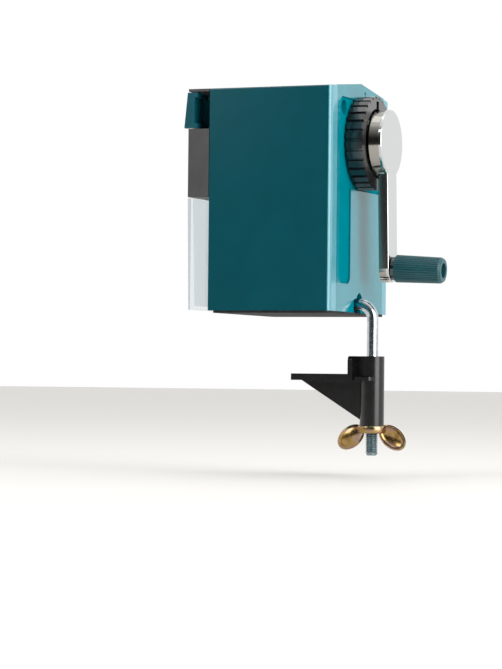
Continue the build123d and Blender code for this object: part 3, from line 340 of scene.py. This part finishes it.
def clear_styrene():
    """Thin clear polystyrene: colourless walls, greyer where the front one is seen edge on."""
    material, tree, shader = new_material("clear_polystyrene")
    fill_inputs(shader, {
        "Base Color": linear("#92A0A8"),
        "Roughness": clouds(tree, size_mm=4.0, detail=2.0, lowest=0.03, highest=0.06),
        "IOR": 1.59,
    })
    clear = add_node(tree, "ShaderNodeBsdfTransparent", {"Color": linear("#F8FAFB")})
    facing = add_node(tree, "ShaderNodeLayerWeight", {"Blend": 0.2}).outputs["Facing"]
    haze = add_node(
        tree, "ShaderNodeMapRange", {"Value": facing, "To Min": 0.01, "To Max": 0.30}
    ).outputs["Result"]
    place = add_node(tree, "ShaderNodeSeparateXYZ", {"Vector": object_coordinates(tree)})
    front = add_node(
        tree, "ShaderNodeMath", {0: place.outputs["X"], 1: FRONT_WALL_X}, operation="LESS_THAN"
    ).outputs["Value"]
    normal = add_node(tree, "ShaderNodeTexCoord").outputs["Normal"]
    turned = add_node(tree, "ShaderNodeSeparateXYZ", {"Vector": normal}).outputs["Y"]
    edge_on = add_node(
        tree, "ShaderNodeMath", {0: turned}, operation="ABSOLUTE"
    ).outputs["Value"]
    edge = add_node(
        tree, "ShaderNodeMath", {0: edge_on, 1: front}, operation="MULTIPLY"
    ).outputs["Value"]
    cover = add_node(
        tree, "ShaderNodeMapRange", {"Value": edge, "To Min": haze, "To Max": 0.5}
    ).outputs["Result"]
    sheet = add_node(
        tree, "ShaderNodeMixShader",
        {0: cover, 1: clear.outputs["BSDF"], 2: shader.outputs["BSDF"]},
    )
    fill_inputs(tree.nodes["Material Output"], {"Surface": sheet.outputs["Shader"]})
    return material


def gloss_nylon():
    """Moulded black nylon: near black and glossy, with a slight ripple from the mould."""
    material, tree, shader = new_material("gloss_black_nylon")
    fill_inputs(shader, {
        "Base Color": clouded_colour(
            tree, size_mm=5.0, detail=2.0, tones=(linear("#070607"), linear("#0C0B0C"))
        ),
        "Roughness": clouds(tree, size_mm=3.0, detail=2.0, lowest=0.20, highest=0.26),
        "IOR": 1.53,
        "Normal": grained_normal(tree, size_mm=5.0, detail=2.0, depth_mm=0.004),
    })
    return material


def matt_rubber():
    """Moulded black rubber: dull, grainy and slightly dusty."""
    material, tree, shader = new_material("matt_black_rubber")
    fill_inputs(shader, {
        "Base Color": clouded_colour(
            tree, size_mm=2.0, detail=4.0, tones=(linear("#1A1A1B"), linear("#2A2A2B"))
        ),
        "Roughness": 0.85,
        "IOR": 1.52,
        "Normal": grained_normal(tree, size_mm=0.4, detail=2.0, depth_mm=0.03),
    })
    return material


def worked_metal(name, tones, roughness, grain_mm, depth_mm):
    """Bare worked metal: one tone broken up by the marks of its making."""
    material, tree, shader = new_material(name)
    fill_inputs(shader, {
        "Base Color": clouded_colour(tree, size_mm=4 * grain_mm, detail=3.0, tones=tones),
        "Metallic": 1.0,
        "Roughness": clouds(
            tree, size_mm=grain_mm, detail=4.0,
            lowest=roughness - 0.06, highest=roughness + 0.06,
        ),
        "Normal": grained_normal(tree, size_mm=grain_mm, detail=4.0, depth_mm=depth_mm),
    })
    return material


def pale_floor():
    """Pale painted floor, dark in reflections where the dim end of the room begins."""
    material, tree, shader = new_material("pale_painted_floor")
    place = add_node(tree, "ShaderNodeSeparateXYZ", {"Vector": object_coordinates(tree)})
    dim_end = add_node(
        tree, "ShaderNodeMath", {0: place.outputs["Y"], 1: FLOOR_DIM_Y}, operation="LESS_THAN"
    ).outputs["Value"]
    mirrored = add_node(tree, "ShaderNodeLightPath").outputs["Is Glossy Ray"]
    dark = add_node(
        tree, "ShaderNodeMath", {0: dim_end, 1: mirrored}, operation="MULTIPLY"
    ).outputs["Value"]
    colour = add_node(
        tree, "ShaderNodeMix", {"Factor": dark, "A": linear("#DEDCD8"), "B": linear("#101010")},
        data_type="RGBA",
    )
    fill_inputs(shader, {"Base Color": colour.outputs["Result"], "Roughness": 0.7})
    return material


def make_finishes(settings):
    """Make every finish once and return them by the record's slot names."""
    # The body's tones carry painted shade: they are darker than the panel's teal of the same
    # moulding.
    body = (settings.shaded_body_dark, settings.shaded_body_light)
    handle = (settings.handle_dark, settings.handle_light)
    block = (settings.block_dark, settings.block_light)
    steel = (linear("#8A8B8E"), linear("#A3A4A6"))
    zinc = (linear("#8B8E91"), linear("#9B9EA1"))
    bronze = (linear("#8C6A3C"), linear("#A47F4B"))
    wire = (linear("#808286"), linear("#94969A"))
    return {
        "teal_abs": moulded_abs(
            "satin_teal_abs_shaded", body, roughness=0.20, grain_mm=0.30, depth_mm=0.004
        ),
        "teal_handle": moulded_abs(
            "ribbed_teal_abs", handle, roughness=0.42, grain_mm=0.30, depth_mm=0.006
        ),
        "dark_abs": moulded_abs(
            "textured_grey_abs", block, roughness=0.45, grain_mm=0.35, depth_mm=0.015
        ),
        "rubber_sheet": matt_rubber(),
        "clear_styrene": clear_styrene(),
        "black_nylon": gloss_nylon(),
        "chrome": plated_chrome(),
        "bright_zinc": bright_zinc(),
        "yellow_zinc": yellow_zinc(),
        "tool_steel": worked_metal(
            "ground_tool_steel", steel, roughness=0.28, grain_mm=0.4, depth_mm=0.004
        ),
        "cast_zinc": worked_metal(
            "die_cast_zinc", zinc, roughness=0.48, grain_mm=0.8, depth_mm=0.02
        ),
        "bronze": worked_metal(
            "sintered_bronze", bronze, roughness=0.42, grain_mm=0.3, depth_mm=0.01
        ),
        "spring_steel": worked_metal(
            "spring_wire", wire, roughness=0.25, grain_mm=0.5, depth_mm=0.003
        ),
    }


def dress(piece, material):
    """Give a piece one material in its first slot."""
    if piece.data.materials:
        piece.data.materials[0] = material
    else:
        piece.data.materials.append(material)


# ---- modelling helpers --------------------------------------------------------
def start_piece(name, add, **settings):
    """Add one primitive with nothing else selected, and name it."""
    bpy.ops.object.select_all(action="DESELECT")
    add(**settings)
    piece = bpy.context.object
    piece.name = name
    return piece


def pick_faces(piece, wanted):
    """Enter edit mode with only the faces that pass a test on their normal selected."""
    bpy.ops.object.mode_set(mode="OBJECT")
    chosen = [wanted(face.normal) for face in piece.data.polygons]
    piece.data.polygons.foreach_set("select", chosen)
    bpy.ops.object.mode_set(mode="EDIT")
    bpy.ops.mesh.select_mode(type="FACE")


def wind(piece, axis, rise, turns, steps, end_sides):
    """Wind an outline into a helix along an axis, and close its two ends."""
    winding = piece.modifiers.new("winding", "SCREW")
    winding.axis = axis
    winding.screw_offset = rise
    winding.iterations = turns
    winding.steps = winding.render_steps = steps
    bpy.ops.object.modifier_apply(modifier="winding")
    bpy.ops.object.mode_set(mode="EDIT")
    bpy.ops.mesh.select_mode(type="VERT")
    bpy.ops.mesh.select_all(action="DESELECT")
    bpy.ops.mesh.select_non_manifold()
    bpy.ops.mesh.fill_holes(sides=end_sides)


def finish_piece(piece, angle=35):
    """Leave edit mode with merged doubles, outward normals and smooth rounds."""
    bpy.ops.object.mode_set(mode="EDIT")
    bpy.ops.mesh.select_all(action="SELECT")
    bpy.ops.mesh.remove_doubles(threshold=0.01 * MM)
    bpy.ops.mesh.normals_make_consistent(inside=False)
    bpy.ops.object.mode_set(mode="OBJECT")
    bpy.ops.object.select_all(action="DESELECT")
    piece.select_set(True)
    bpy.context.view_layer.objects.active = piece
    bpy.ops.object.transform_apply(location=True, rotation=True, scale=True)
    bpy.ops.object.shade_smooth_by_angle(angle=radians(angle))
    return piece


def join_pieces(name, whole, *others):
    """Join pieces into one mesh, and name it."""
    bpy.ops.object.select_all(action="DESELECT")
    for piece in (whole, *others):
        piece.select_set(True)
    bpy.context.view_layer.objects.active = whole
    bpy.ops.object.join()
    whole.name = name
    return whole


def hand_over(piece, node, body):
    """Hide the CAD node that the piece stands for, and hang the piece on the empty of the body
    that carries it.
    """
    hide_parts(node)
    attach(piece, body)


# ---- sizes and colours that a user would change -------------------------------
def colour_setting(name, description, hex_colour):
    """Return a colour property whose default is an sRGB hex colour."""
    return bpy.props.FloatVectorProperty(
        name=name, description=description, default=linear(hex_colour), size=4,
        min=0.0, max=1.0, subtype="COLOR",
    )


class FinishSettings(bpy.types.PropertyGroup):
    """The colours of the moulded parts, each a pair of tones that the surface drifts between. The
    body and shell tones are darkened as painted shade of the dim near side, and the rim tones are
    a painted reflection.
    """

    # The body's teal is darkened below the panel's teal, as painted shade for the sides that face
    # the dim room.
    shaded_body_dark: colour_setting("Body, darker", "Darker tone of the teal mouldings", "#004853")
    shaded_body_light: colour_setting("Body, lighter", "Lighter tone of the teal mouldings", "#004E5A")
    handle_dark: colour_setting("Handle, darker", "Darker tone of the handle", "#04474E")
    handle_light: colour_setting("Handle, lighter", "Lighter tone of the handle", "#084E56")
    block_dark: colour_setting("Block, darker", "Darker tone of the front block", "#3A3A3C")
    block_light: colour_setting("Block, lighter", "Lighter tone of the front block", "#434345")
    panel_dark: colour_setting("Panel, darker", "Darker tone of the polished panel", "#00727F")
    panel_light: colour_setting("Panel, lighter", "Lighter tone of the polished panel", "#007986")
    field_dark: colour_setting("Field, darker", "Darker tone of the matt field", "#006E7B")
    field_light: colour_setting("Field, lighter", "Lighter tone of the matt field", "#007481")
    # The rim's pale teal tones are a painted reflection of the bright wall on the polished rim,
    # not the moulding's own colour.
    rim_painted_sheen_dark: colour_setting("Rim, darker", "Darker tone of the polished rim", "#4E8F9C")
    rim_painted_sheen_light: colour_setting("Rim, lighter", "Lighter tone of the polished rim", "#5494A1")
    # The shell's teal is darkened in the same way, as painted shade of its dim near side.
    shaded_shell_dark: colour_setting("Shell, darker", "Darker tone of the shell", "#004650")
    shaded_shell_light: colour_setting("Shell, lighter", "Lighter tone of the shell", "#004954")
    wheel_dark: colour_setting("Wheel, darker", "Darker tone of the wheel", "#17181A")
    wheel_light: colour_setting("Wheel, lighter", "Lighter tone of the wheel", "#1E1F21")


class ClampSettings(bpy.types.PropertyGroup):
    """The hook bolt and its wing nut."""

    pitch: bpy.props.FloatProperty(
        name="Thread pitch", description="Height of one turn of the thread",
        default=1.0 * MM, unit="LENGTH",
    )
    wing_depth: bpy.props.FloatProperty(
        name="Wing depth", description="Depth of each wing's cup",
        default=2.4 * MM, unit="LENGTH",
    )
    wing_width: bpy.props.FloatProperty(
        name="Wing width", description="Width of each wing's cup",
        default=9.0 * MM, unit="LENGTH",
    )


class SpringSettings(bpy.types.PropertyGroup):
    """The feed springs and the grip springs."""

    feed_wire: bpy.props.FloatProperty(
        name="Feed wire", description="Diameter of the feed springs' wire",
        default=0.7 * MM, unit="LENGTH",
    )
    feed_turns: bpy.props.IntProperty(
        name="Feed turns", description="Turns of each feed spring", default=18,
    )
    grip_wire: bpy.props.FloatProperty(
        name="Grip wire", description="Diameter of the grip springs' wire",
        default=0.4 * MM, unit="LENGTH",
    )
    grip_turns: bpy.props.IntProperty(
        name="Grip turns", description="Turns of each grip spring", default=4,
    )


class StudioSettings(bpy.types.PropertyGroup):
    """The camera, the lights and the floor."""

    azimuth: bpy.props.FloatProperty(
        name="Azimuth", description="Camera's angle round the machine",
        default=radians(21.674), subtype="ANGLE",
    )
    elevation: bpy.props.FloatProperty(
        name="Elevation", description="Camera's angle above the level",
        default=radians(-0.921), subtype="ANGLE",
    )
    roll: bpy.props.FloatProperty(
        name="Roll", description="Camera's tilt about its own line of sight",
        default=radians(0.59), subtype="ANGLE",
    )
    distance: bpy.props.FloatProperty(
        name="Distance", description="Camera's distance from the point that it looks at",
        default=1.2306, unit="LENGTH",
    )
    look_at: bpy.props.FloatVectorProperty(
        name="Look at", description="Point in the middle of the picture",
        default=(-0.01606, -0.00717, -0.00934), subtype="XYZ", unit="LENGTH",
    )
    lens: bpy.props.FloatProperty(
        name="Lens", description="Focal length for a 36 mm long side, in millimetres",
        default=141.8, unit="CAMERA",
    )
    key_power: bpy.props.FloatProperty(
        name="Key", description="Power of the key light", default=13.0, unit="POWER",
    )
    fill_power: bpy.props.FloatProperty(
        name="Fill", description="Power of the fill light", default=7.0, unit="POWER",
    )


# ---- finishes -----------------------------------------------------------------
class SHARPENER_OT_finishes(bpy.types.Operator):
    """Give every CAD node its finish"""

    bl_idname = "sharpener.finishes"
    bl_label = "Finishes"

    def execute(self, context):
        settings = context.scene.sharpener_finish
        finishes = make_finishes(settings)
        slots = {s["node"]: s["material_slot"] for s in frame["record"]["subparts"]}
        for name, piece in frame["nodes"].items():
            dress(piece, finishes[slots[name]])
        # The matt field's floor lies under the polished face, so X tells them apart.
        panel = polished_abs(
            "polished_and_matt_abs", PANEL_FACE_X,
            face_tones=(settings.panel_dark, settings.panel_light),
            rest_tones=(settings.field_dark, settings.field_light),
            roughness=0.75, specular=0.0,
        )
        dress(frame["nodes"]["rear_panel"], panel)
        shell = polished_abs(
            "polished_rim_painted_sheen_abs", RIM_FACE_X,
            # The rim's pale face tones are a painted reflection of the bright wall.
            face_tones=(settings.rim_painted_sheen_dark, settings.rim_painted_sheen_light),
            # The shell's darker tones are painted shade of its dim near side.
            rest_tones=(settings.shaded_shell_dark, settings.shaded_shell_light),
            roughness=0.17, specular=0.45,
        )
        dress(frame["nodes"]["housing_shell"], shell)
        black = moulded_abs(
            "ribbed_black_abs", (settings.wheel_dark, settings.wheel_light),
            roughness=0.17, grain_mm=0.30, depth_mm=0.0008,
        )
        fill_inputs(black.node_tree.nodes["Principled BSDF"], {"IOR": 1.9})
        dress(frame["nodes"]["adjusting_wheel"], black)
        dress(frame["nodes"]["handle_washer"], black)
        return {"FINISHED"}


# ---- hook bolt ----------------------------------------------------------------
def bent_rod():
    """Push a ring along the short leg, round the bend and down to the thread."""
    rod = start_piece(
        "hook_rod", bpy.ops.mesh.primitive_circle_add, vertices=48, radius=ROD_R,
        fill_type="NGON", location=(BOLT_START_X, 0, BOLT_Z), rotation=(0, pi / 2, 0),
    )
    pick_faces(rod, lambda normal: True)
    bpy.ops.mesh.extrude_region_move(
        TRANSFORM_OT_translate={"value": (BEND_X - BOLT_START_X, 0, 0)}
    )
    bpy.ops.mesh.spin(
        steps=20, angle=-pi / 2, center=(BEND_X, 0, BOLT_Z - BEND_R), axis=(0, 1, 0)
    )
    bpy.ops.mesh.extrude_region_move(
        TRANSFORM_OT_translate={"value": (0, 0, THREAD_TOP_Z - BOLT_Z + BEND_R)}
    )
    return finish_piece(rod)


def thread_core(pitch, length):
    """Make the rod that is left under the thread, with a tapered tip."""
    core = start_piece(
        "thread_core", bpy.ops.mesh.primitive_cylinder_add, vertices=48,
        radius=THREAD_R - THREAD_DEPTH * pitch, depth=length,
        location=(CLAMP_X, 0, BOLT_TIP_Z + length / 2),
    )
    pick_faces(core, lambda normal: normal.z < -0.9)
    bpy.ops.mesh.bevel(offset=TIP_TAPER * pitch, segments=2, affect="EDGES")
    return finish_piece(core)


def thread_crest(pitch, length):
    """Wind a small triangle, which points outwards, up the core."""
    crest = start_piece(
        "thread_crest", bpy.ops.mesh.primitive_circle_add, vertices=3, radius=CREST_R * pitch,
        location=(CLAMP_X, 0, BOLT_TIP_Z + CREST_START * pitch), rotation=(pi / 2, pi / 2, 0),
    )
    bpy.ops.object.transform_apply(location=False, rotation=True, scale=False)
    bpy.ops.object.mode_set(mode="EDIT")
    bpy.ops.mesh.select_all(action="SELECT")
    bpy.ops.transform.resize(value=(1, 1, CREST_STRETCH))
    bpy.ops.transform.translate(value=(THREAD_R - CREST_R * pitch, 0, 0))
    bpy.ops.object.mode_set(mode="OBJECT")
    # The last turns run out before the rod begins.
    wind(crest, "Z", rise=pitch, turns=int(length / pitch) - 2, steps=28, end_sides=3)
    return finish_piece(crest, 25)


class SHARPENER_OT_hook_bolt(bpy.types.Operator):
    """Make the bent rod and its rolled thread"""

    bl_idname = "sharpener.hook_bolt"
    bl_label = "Hook bolt"

    def execute(self, context):
        pitch = context.scene.sharpener_clamp.pitch
        length = THREAD_TOP_Z - BOLT_TIP_Z
        rod = bent_rod()
        core = thread_core(pitch, length)
        crest = thread_crest(pitch, length)
        dress(rod, bpy.data.materials["bright_zinc_plate"])
        oiled = worked_metal(
            "oiled_zinc_thread", (linear("#84959A"), linear("#9CADB3")),
            roughness=0.30, grain_mm=0.5, depth_mm=0.004,
        )
        dress(core, oiled)
        dress(crest, oiled)
        bolt = join_pieces("hook_bolt_rolled", rod, core, crest)
        hand_over(bolt, "hook_bolt", "clamp_hook")
        return {"FINISHED"}


# ---- wing nut -----------------------------------------------------------------
def pressed_collar():
    """Round both ends of a short cylinder, and open it for the bolt."""
    collar = start_piece(
        "nut_collar", bpy.ops.mesh.primitive_cylinder_add, vertices=64, radius=NUT_R,
        depth=NUT_HEIGHT, location=(CLAMP_X, 0, NUT_TOP_Z - NUT_HEIGHT / 2),
    )
    pick_faces(collar, lambda normal: abs(normal.z) > 0.9)
    bpy.ops.mesh.bevel(offset=NUT_EDGE, segments=3, affect="EDGES")
    pick_faces(collar, lambda normal: abs(normal.z) > 0.99)
    bpy.ops.mesh.inset(thickness=NUT_R - NUT_EDGE - THREAD_R - NUT_CLEARANCE)
    bpy.ops.mesh.bridge_edge_loops()
    return finish_piece(collar, 40)


def cupped_wing(side, settings):
    """Make one cupped wing of the nut; side is +1 or -1 along X."""
    root = Vector((CLAMP_X + side * WING_ROOT_X, 0, WING_ROOT_Z))
    tip = Vector((CLAMP_X + side * WING_TIP_X, 0, WING_TIP_Z))
    length = (tip - root).length
    dip = Vector((abs(tip.x - root.x), root.z - tip.z)).angle(Vector((1, 0)))
    wing = start_piece(
        f"wing_{side}", bpy.ops.mesh.primitive_uv_sphere_add, segments=40, ring_count=20,
        radius=0.5, location=(root + tip) / 2,
    )
    bpy.ops.transform.resize(value=(length, 2 * settings.wing_depth, settings.wing_width))
    bpy.ops.object.transform_apply(location=False, rotation=False, scale=True)
    # Keep the half that is convex on one side, so that the wing is a cup.
    bpy.ops.object.mode_set(mode="EDIT")
    bpy.ops.mesh.select_all(action="SELECT")
    bpy.ops.mesh.bisect(
        plane_co=wing.location, plane_no=(0, -side, 0), clear_outer=True, use_fill=False
    )
    bpy.ops.object.mode_set(mode="OBJECT")
    wing.rotation_euler = (0, side * dip, 0)
    bpy.ops.object.transform_apply(location=False, rotation=True, scale=False)
    sheet = wing.modifiers.new("sheet", "SOLIDIFY")
    sheet.thickness = WING_SHEET
    sheet.offset = 0
    bpy.ops.object.modifier_apply(modifier="sheet")
    rim = wing.modifiers.new("rim", "BEVEL")
    rim.width = WING_RIM
    rim.segments = 2
    rim.limit_method = "ANGLE"
    rim.angle_limit = radians(50)
    bpy.ops.object.modifier_apply(modifier="rim")
    return finish_piece(wing, 50)


class SHARPENER_OT_wing_nut(bpy.types.Operator):
    """Make the pressed collar and its two cupped wings"""

    bl_idname = "sharpener.wing_nut"
    bl_label = "Wing nut"

    def execute(self, context):
        settings = context.scene.sharpener_clamp
        collar = pressed_collar()
        wings = [cupped_wing(side, settings) for side in (1, -1)]
        nut = join_pieces("wing_nut_pressed", collar, *wings)
        dress(nut, bpy.data.materials["yellow_passivated_zinc"])
        hand_over(nut, "wing_nut", "wing_nut")
        return {"FINISHED"}


# ---- springs ------------------------------------------------------------------
def wound_coil(name, start, along, rise, coil_r, wire_r, turns):
    """Wind one round-wire spring from start along an axis; rise is signed."""
    coil = start_piece(
        name, bpy.ops.mesh.primitive_circle_add, vertices=10, radius=wire_r, location=start
    )
    bpy.ops.object.mode_set(mode="EDIT")
    bpy.ops.mesh.select_all(action="SELECT")
    outwards = (0, coil_r, 0) if along == "X" else (coil_r, 0, 0)
    bpy.ops.transform.translate(value=outwards)
    bpy.ops.object.mode_set(mode="OBJECT")
    wind(coil, along, rise=rise / turns, turns=turns, steps=24, end_sides=10)
    finish_piece(coil, 50)
    dress(coil, bpy.data.materials["spring_wire"])
    return coil


def grip_spring(node, out, settings):
    """Make one grip's spring; out is its side in Y."""
    wire_r = settings.grip_wire / 2
    inner_y = out * min(abs(low(node).y), abs(high(node).y))
    length = high(node).y - low(node).y
    coil_r = (high(node).z - low(node).z) / 2 - wire_r
    start = Vector((middle(node).x, inner_y + out * wire_r, middle(node).z))
    coil = wound_coil(
        f"{node}_wound", start, "Y", out * (length - 2 * wire_r), coil_r, wire_r,
        settings.grip_turns,
    )
    hand_over(coil, node, "carriage")
    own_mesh(coil)


def feed_springs(node, settings):
    """Make the pair of feed springs."""
    wire_r = settings.feed_wire / 2
    length = high(node).x - low(node).x
    coil_r = (high(node).z - low(node).z) / 2 - wire_r
    sides = (
        ("near", low(node).y + coil_r + wire_r),
        ("far", high(node).y - coil_r - wire_r),
    )
    coils = [
        wound_coil(
            f"feed_spring_{side}", Vector((high(node).x - wire_r, y, middle(node).z)), "X",
            2 * wire_r - length, coil_r, wire_r, settings.feed_turns,
        )
        for side, y in sides
    ]
    springs = join_pieces("feed_springs_wound", *coils)
    hand_over(springs, node, "carriage")
    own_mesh(springs)


class SHARPENER_OT_springs(bpy.types.Operator):
    """Make the grip springs and the feed springs"""

    bl_idname = "sharpener.springs"
    bl_label = "Springs"

    def execute(self, context):
        settings = context.scene.sharpener_springs
        grip_spring("near_grip_spring", -1, settings)
        grip_spring("far_grip_spring", 1, settings)
        feed_springs("feed_springs", settings)
        return {"FINISHED"}


# ---- stage --------------------------------------------------------------------
def place_camera(settings):
    """Stand the camera off the point that it looks at."""
    data = bpy.data.cameras.new("camera")
    data.lens = settings.lens
    data.sensor_width = 36.0
    data.clip_end = 20
    camera = bpy.data.objects.new("camera", data)
    bpy.context.scene.collection.objects.link(camera)
    back = Vector((
        sin(settings.azimuth) * cos(settings.elevation),
        -cos(settings.azimuth) * cos(settings.elevation),
        sin(settings.elevation),
    ))
    turn = back.to_track_quat("Z", "Y").to_matrix().to_4x4()
    turn = turn @ Matrix.Rotation(settings.roll, 4, "Z")
    place = Vector(settings.look_at) + back * settings.distance
    camera.matrix_world = Matrix.Translation(place) @ turn
    bpy.context.scene.camera = camera


def light_room():
    """Set a bright studio wall behind and to the right, and a dim room behind the camera."""
    world = bpy.data.worlds.new("studio")
    bpy.context.scene.world = world
    world.use_nodes = True
    tree = world.node_tree
    direction = add_node(tree, "ShaderNodeTexCoord").outputs["Generated"]
    parts = add_node(tree, "ShaderNodeSeparateXYZ", {"Vector": direction})
    wall = add_node(
        tree, "ShaderNodeMapRange",
        {"Value": parts.outputs["Y"], "From Min": WALL_DIM_Y, "From Max": WALL_LIT_Y,
         "To Min": WALL_DIM_STRENGTH, "To Max": WALL_LIT_STRENGTH},
        interpolation_type="SMOOTHSTEP",
    ).outputs["Result"]
    height = add_node(
        tree, "ShaderNodeMath", {0: parts.outputs["Z"], 1: 0.0}, operation="MAXIMUM"
    ).outputs["Value"]
    above = add_node(
        tree, "ShaderNodeMath", {0: height, 1: SKY_FALLOFF}, operation="POWER"
    ).outputs["Value"]
    room = add_node(
        tree, "ShaderNodeMath", {0: wall, 1: above}, operation="MAXIMUM"
    ).outputs["Value"]
    seen = add_node(tree, "ShaderNodeLightPath").outputs["Is Camera Ray"]
    strength = add_node(
        tree, "ShaderNodeMix", {"Factor": seen, "A": room, "B": 1.0}, data_type="FLOAT"
    ).outputs["Result"]
    white = (1.0, 1.0, 1.0, 1.0)
    fill_inputs(tree.nodes["Background"], {"Color": white, "Strength": strength})


def softbox(name, place, target, side, power):
    """Add one square softbox, aimed at a target."""
    data = bpy.data.lights.new(name, "AREA")
    data.shape = "RECTANGLE"
    data.size = data.size_y = side
    data.energy = power
    lamp = bpy.data.objects.new(name, data)
    lamp.location = place
    aim = Vector(target) - Vector(place)
    lamp.rotation_euler = aim.to_track_quat("-Z", "Y").to_euler()
    bpy.context.scene.collection.objects.link(lamp)


class SHARPENER_OT_stage(bpy.types.Operator):
    """Set up the floor, the soft lights and the camera"""

    bl_idname = "sharpener.stage"
    bl_label = "Stage"

    def execute(self, context):
        settings = context.scene.sharpener_studio
        place_camera(settings)
        floor = start_piece(
            "floor", bpy.ops.mesh.primitive_plane_add, size=FLOOR_SIDE,
            location=(0, 0, CAD_BOX[0][2] - FLOOR_DROP),
        )
        dress(floor, pale_floor())
        light_room()
        # The key stands off the crank side, and the fill beside the camera.
        body = (0, 0, 0.05)
        crank = (0.03, 0, 0.04)
        softbox("key", (1.1, -0.45, 0.35), crank, side=0.9, power=settings.key_power)
        softbox("fill", (-0.9, -1.2, 0.9), body, side=0.8, power=settings.fill_power)
        softbox("side_glow", (-0.77, -1.4, 0.41), body, side=0.38, power=0.25)
        softbox("top", (0.1, 0.1, 1.3), body, side=0.9, power=2)
        context.scene.view_settings.view_transform = "Standard"
        return {"FINISHED"}


# ---- panel and registration ---------------------------------------------------
class SHARPENER_PT_panel(bpy.types.Panel):
    """The machine's pieces and its stage"""

    bl_label = "Pencil sharpener"
    bl_idname = "SHARPENER_PT_panel"
    bl_space_type = "VIEW_3D"
    bl_region_type = "UI"
    bl_category = "Sharpener"

    def draw(self, context):
        for step in STEPS:
            self.layout.operator(step)


OPERATORS = (
    SHARPENER_OT_finishes,
    SHARPENER_OT_hook_bolt,
    SHARPENER_OT_wing_nut,
    SHARPENER_OT_springs,
    SHARPENER_OT_stage,
)
STEPS = [operator.bl_idname for operator in OPERATORS]
SETTINGS = {
    "sharpener_finish": FinishSettings,
    "sharpener_clamp": ClampSettings,
    "sharpener_springs": SpringSettings,
    "sharpener_studio": StudioSettings,
}
CLASSES = (*SETTINGS.values(), *OPERATORS, SHARPENER_PT_panel)


def register():
    for cls in CLASSES:
        bpy.utils.register_class(cls)
    for name, group in SETTINGS.items():
        setattr(bpy.types.Scene, name, bpy.props.PointerProperty(type=group))


def unregister():
    for name in SETTINGS:
        delattr(bpy.types.Scene, name)
    for cls in reversed(CLASSES):
        bpy.utils.unregister_class(cls)


def main():
    register()
    for step in STEPS:
        family, name = step.split(".")
        getattr(getattr(bpy.ops, family), name)()


if __name__ == "__main__":
    main()
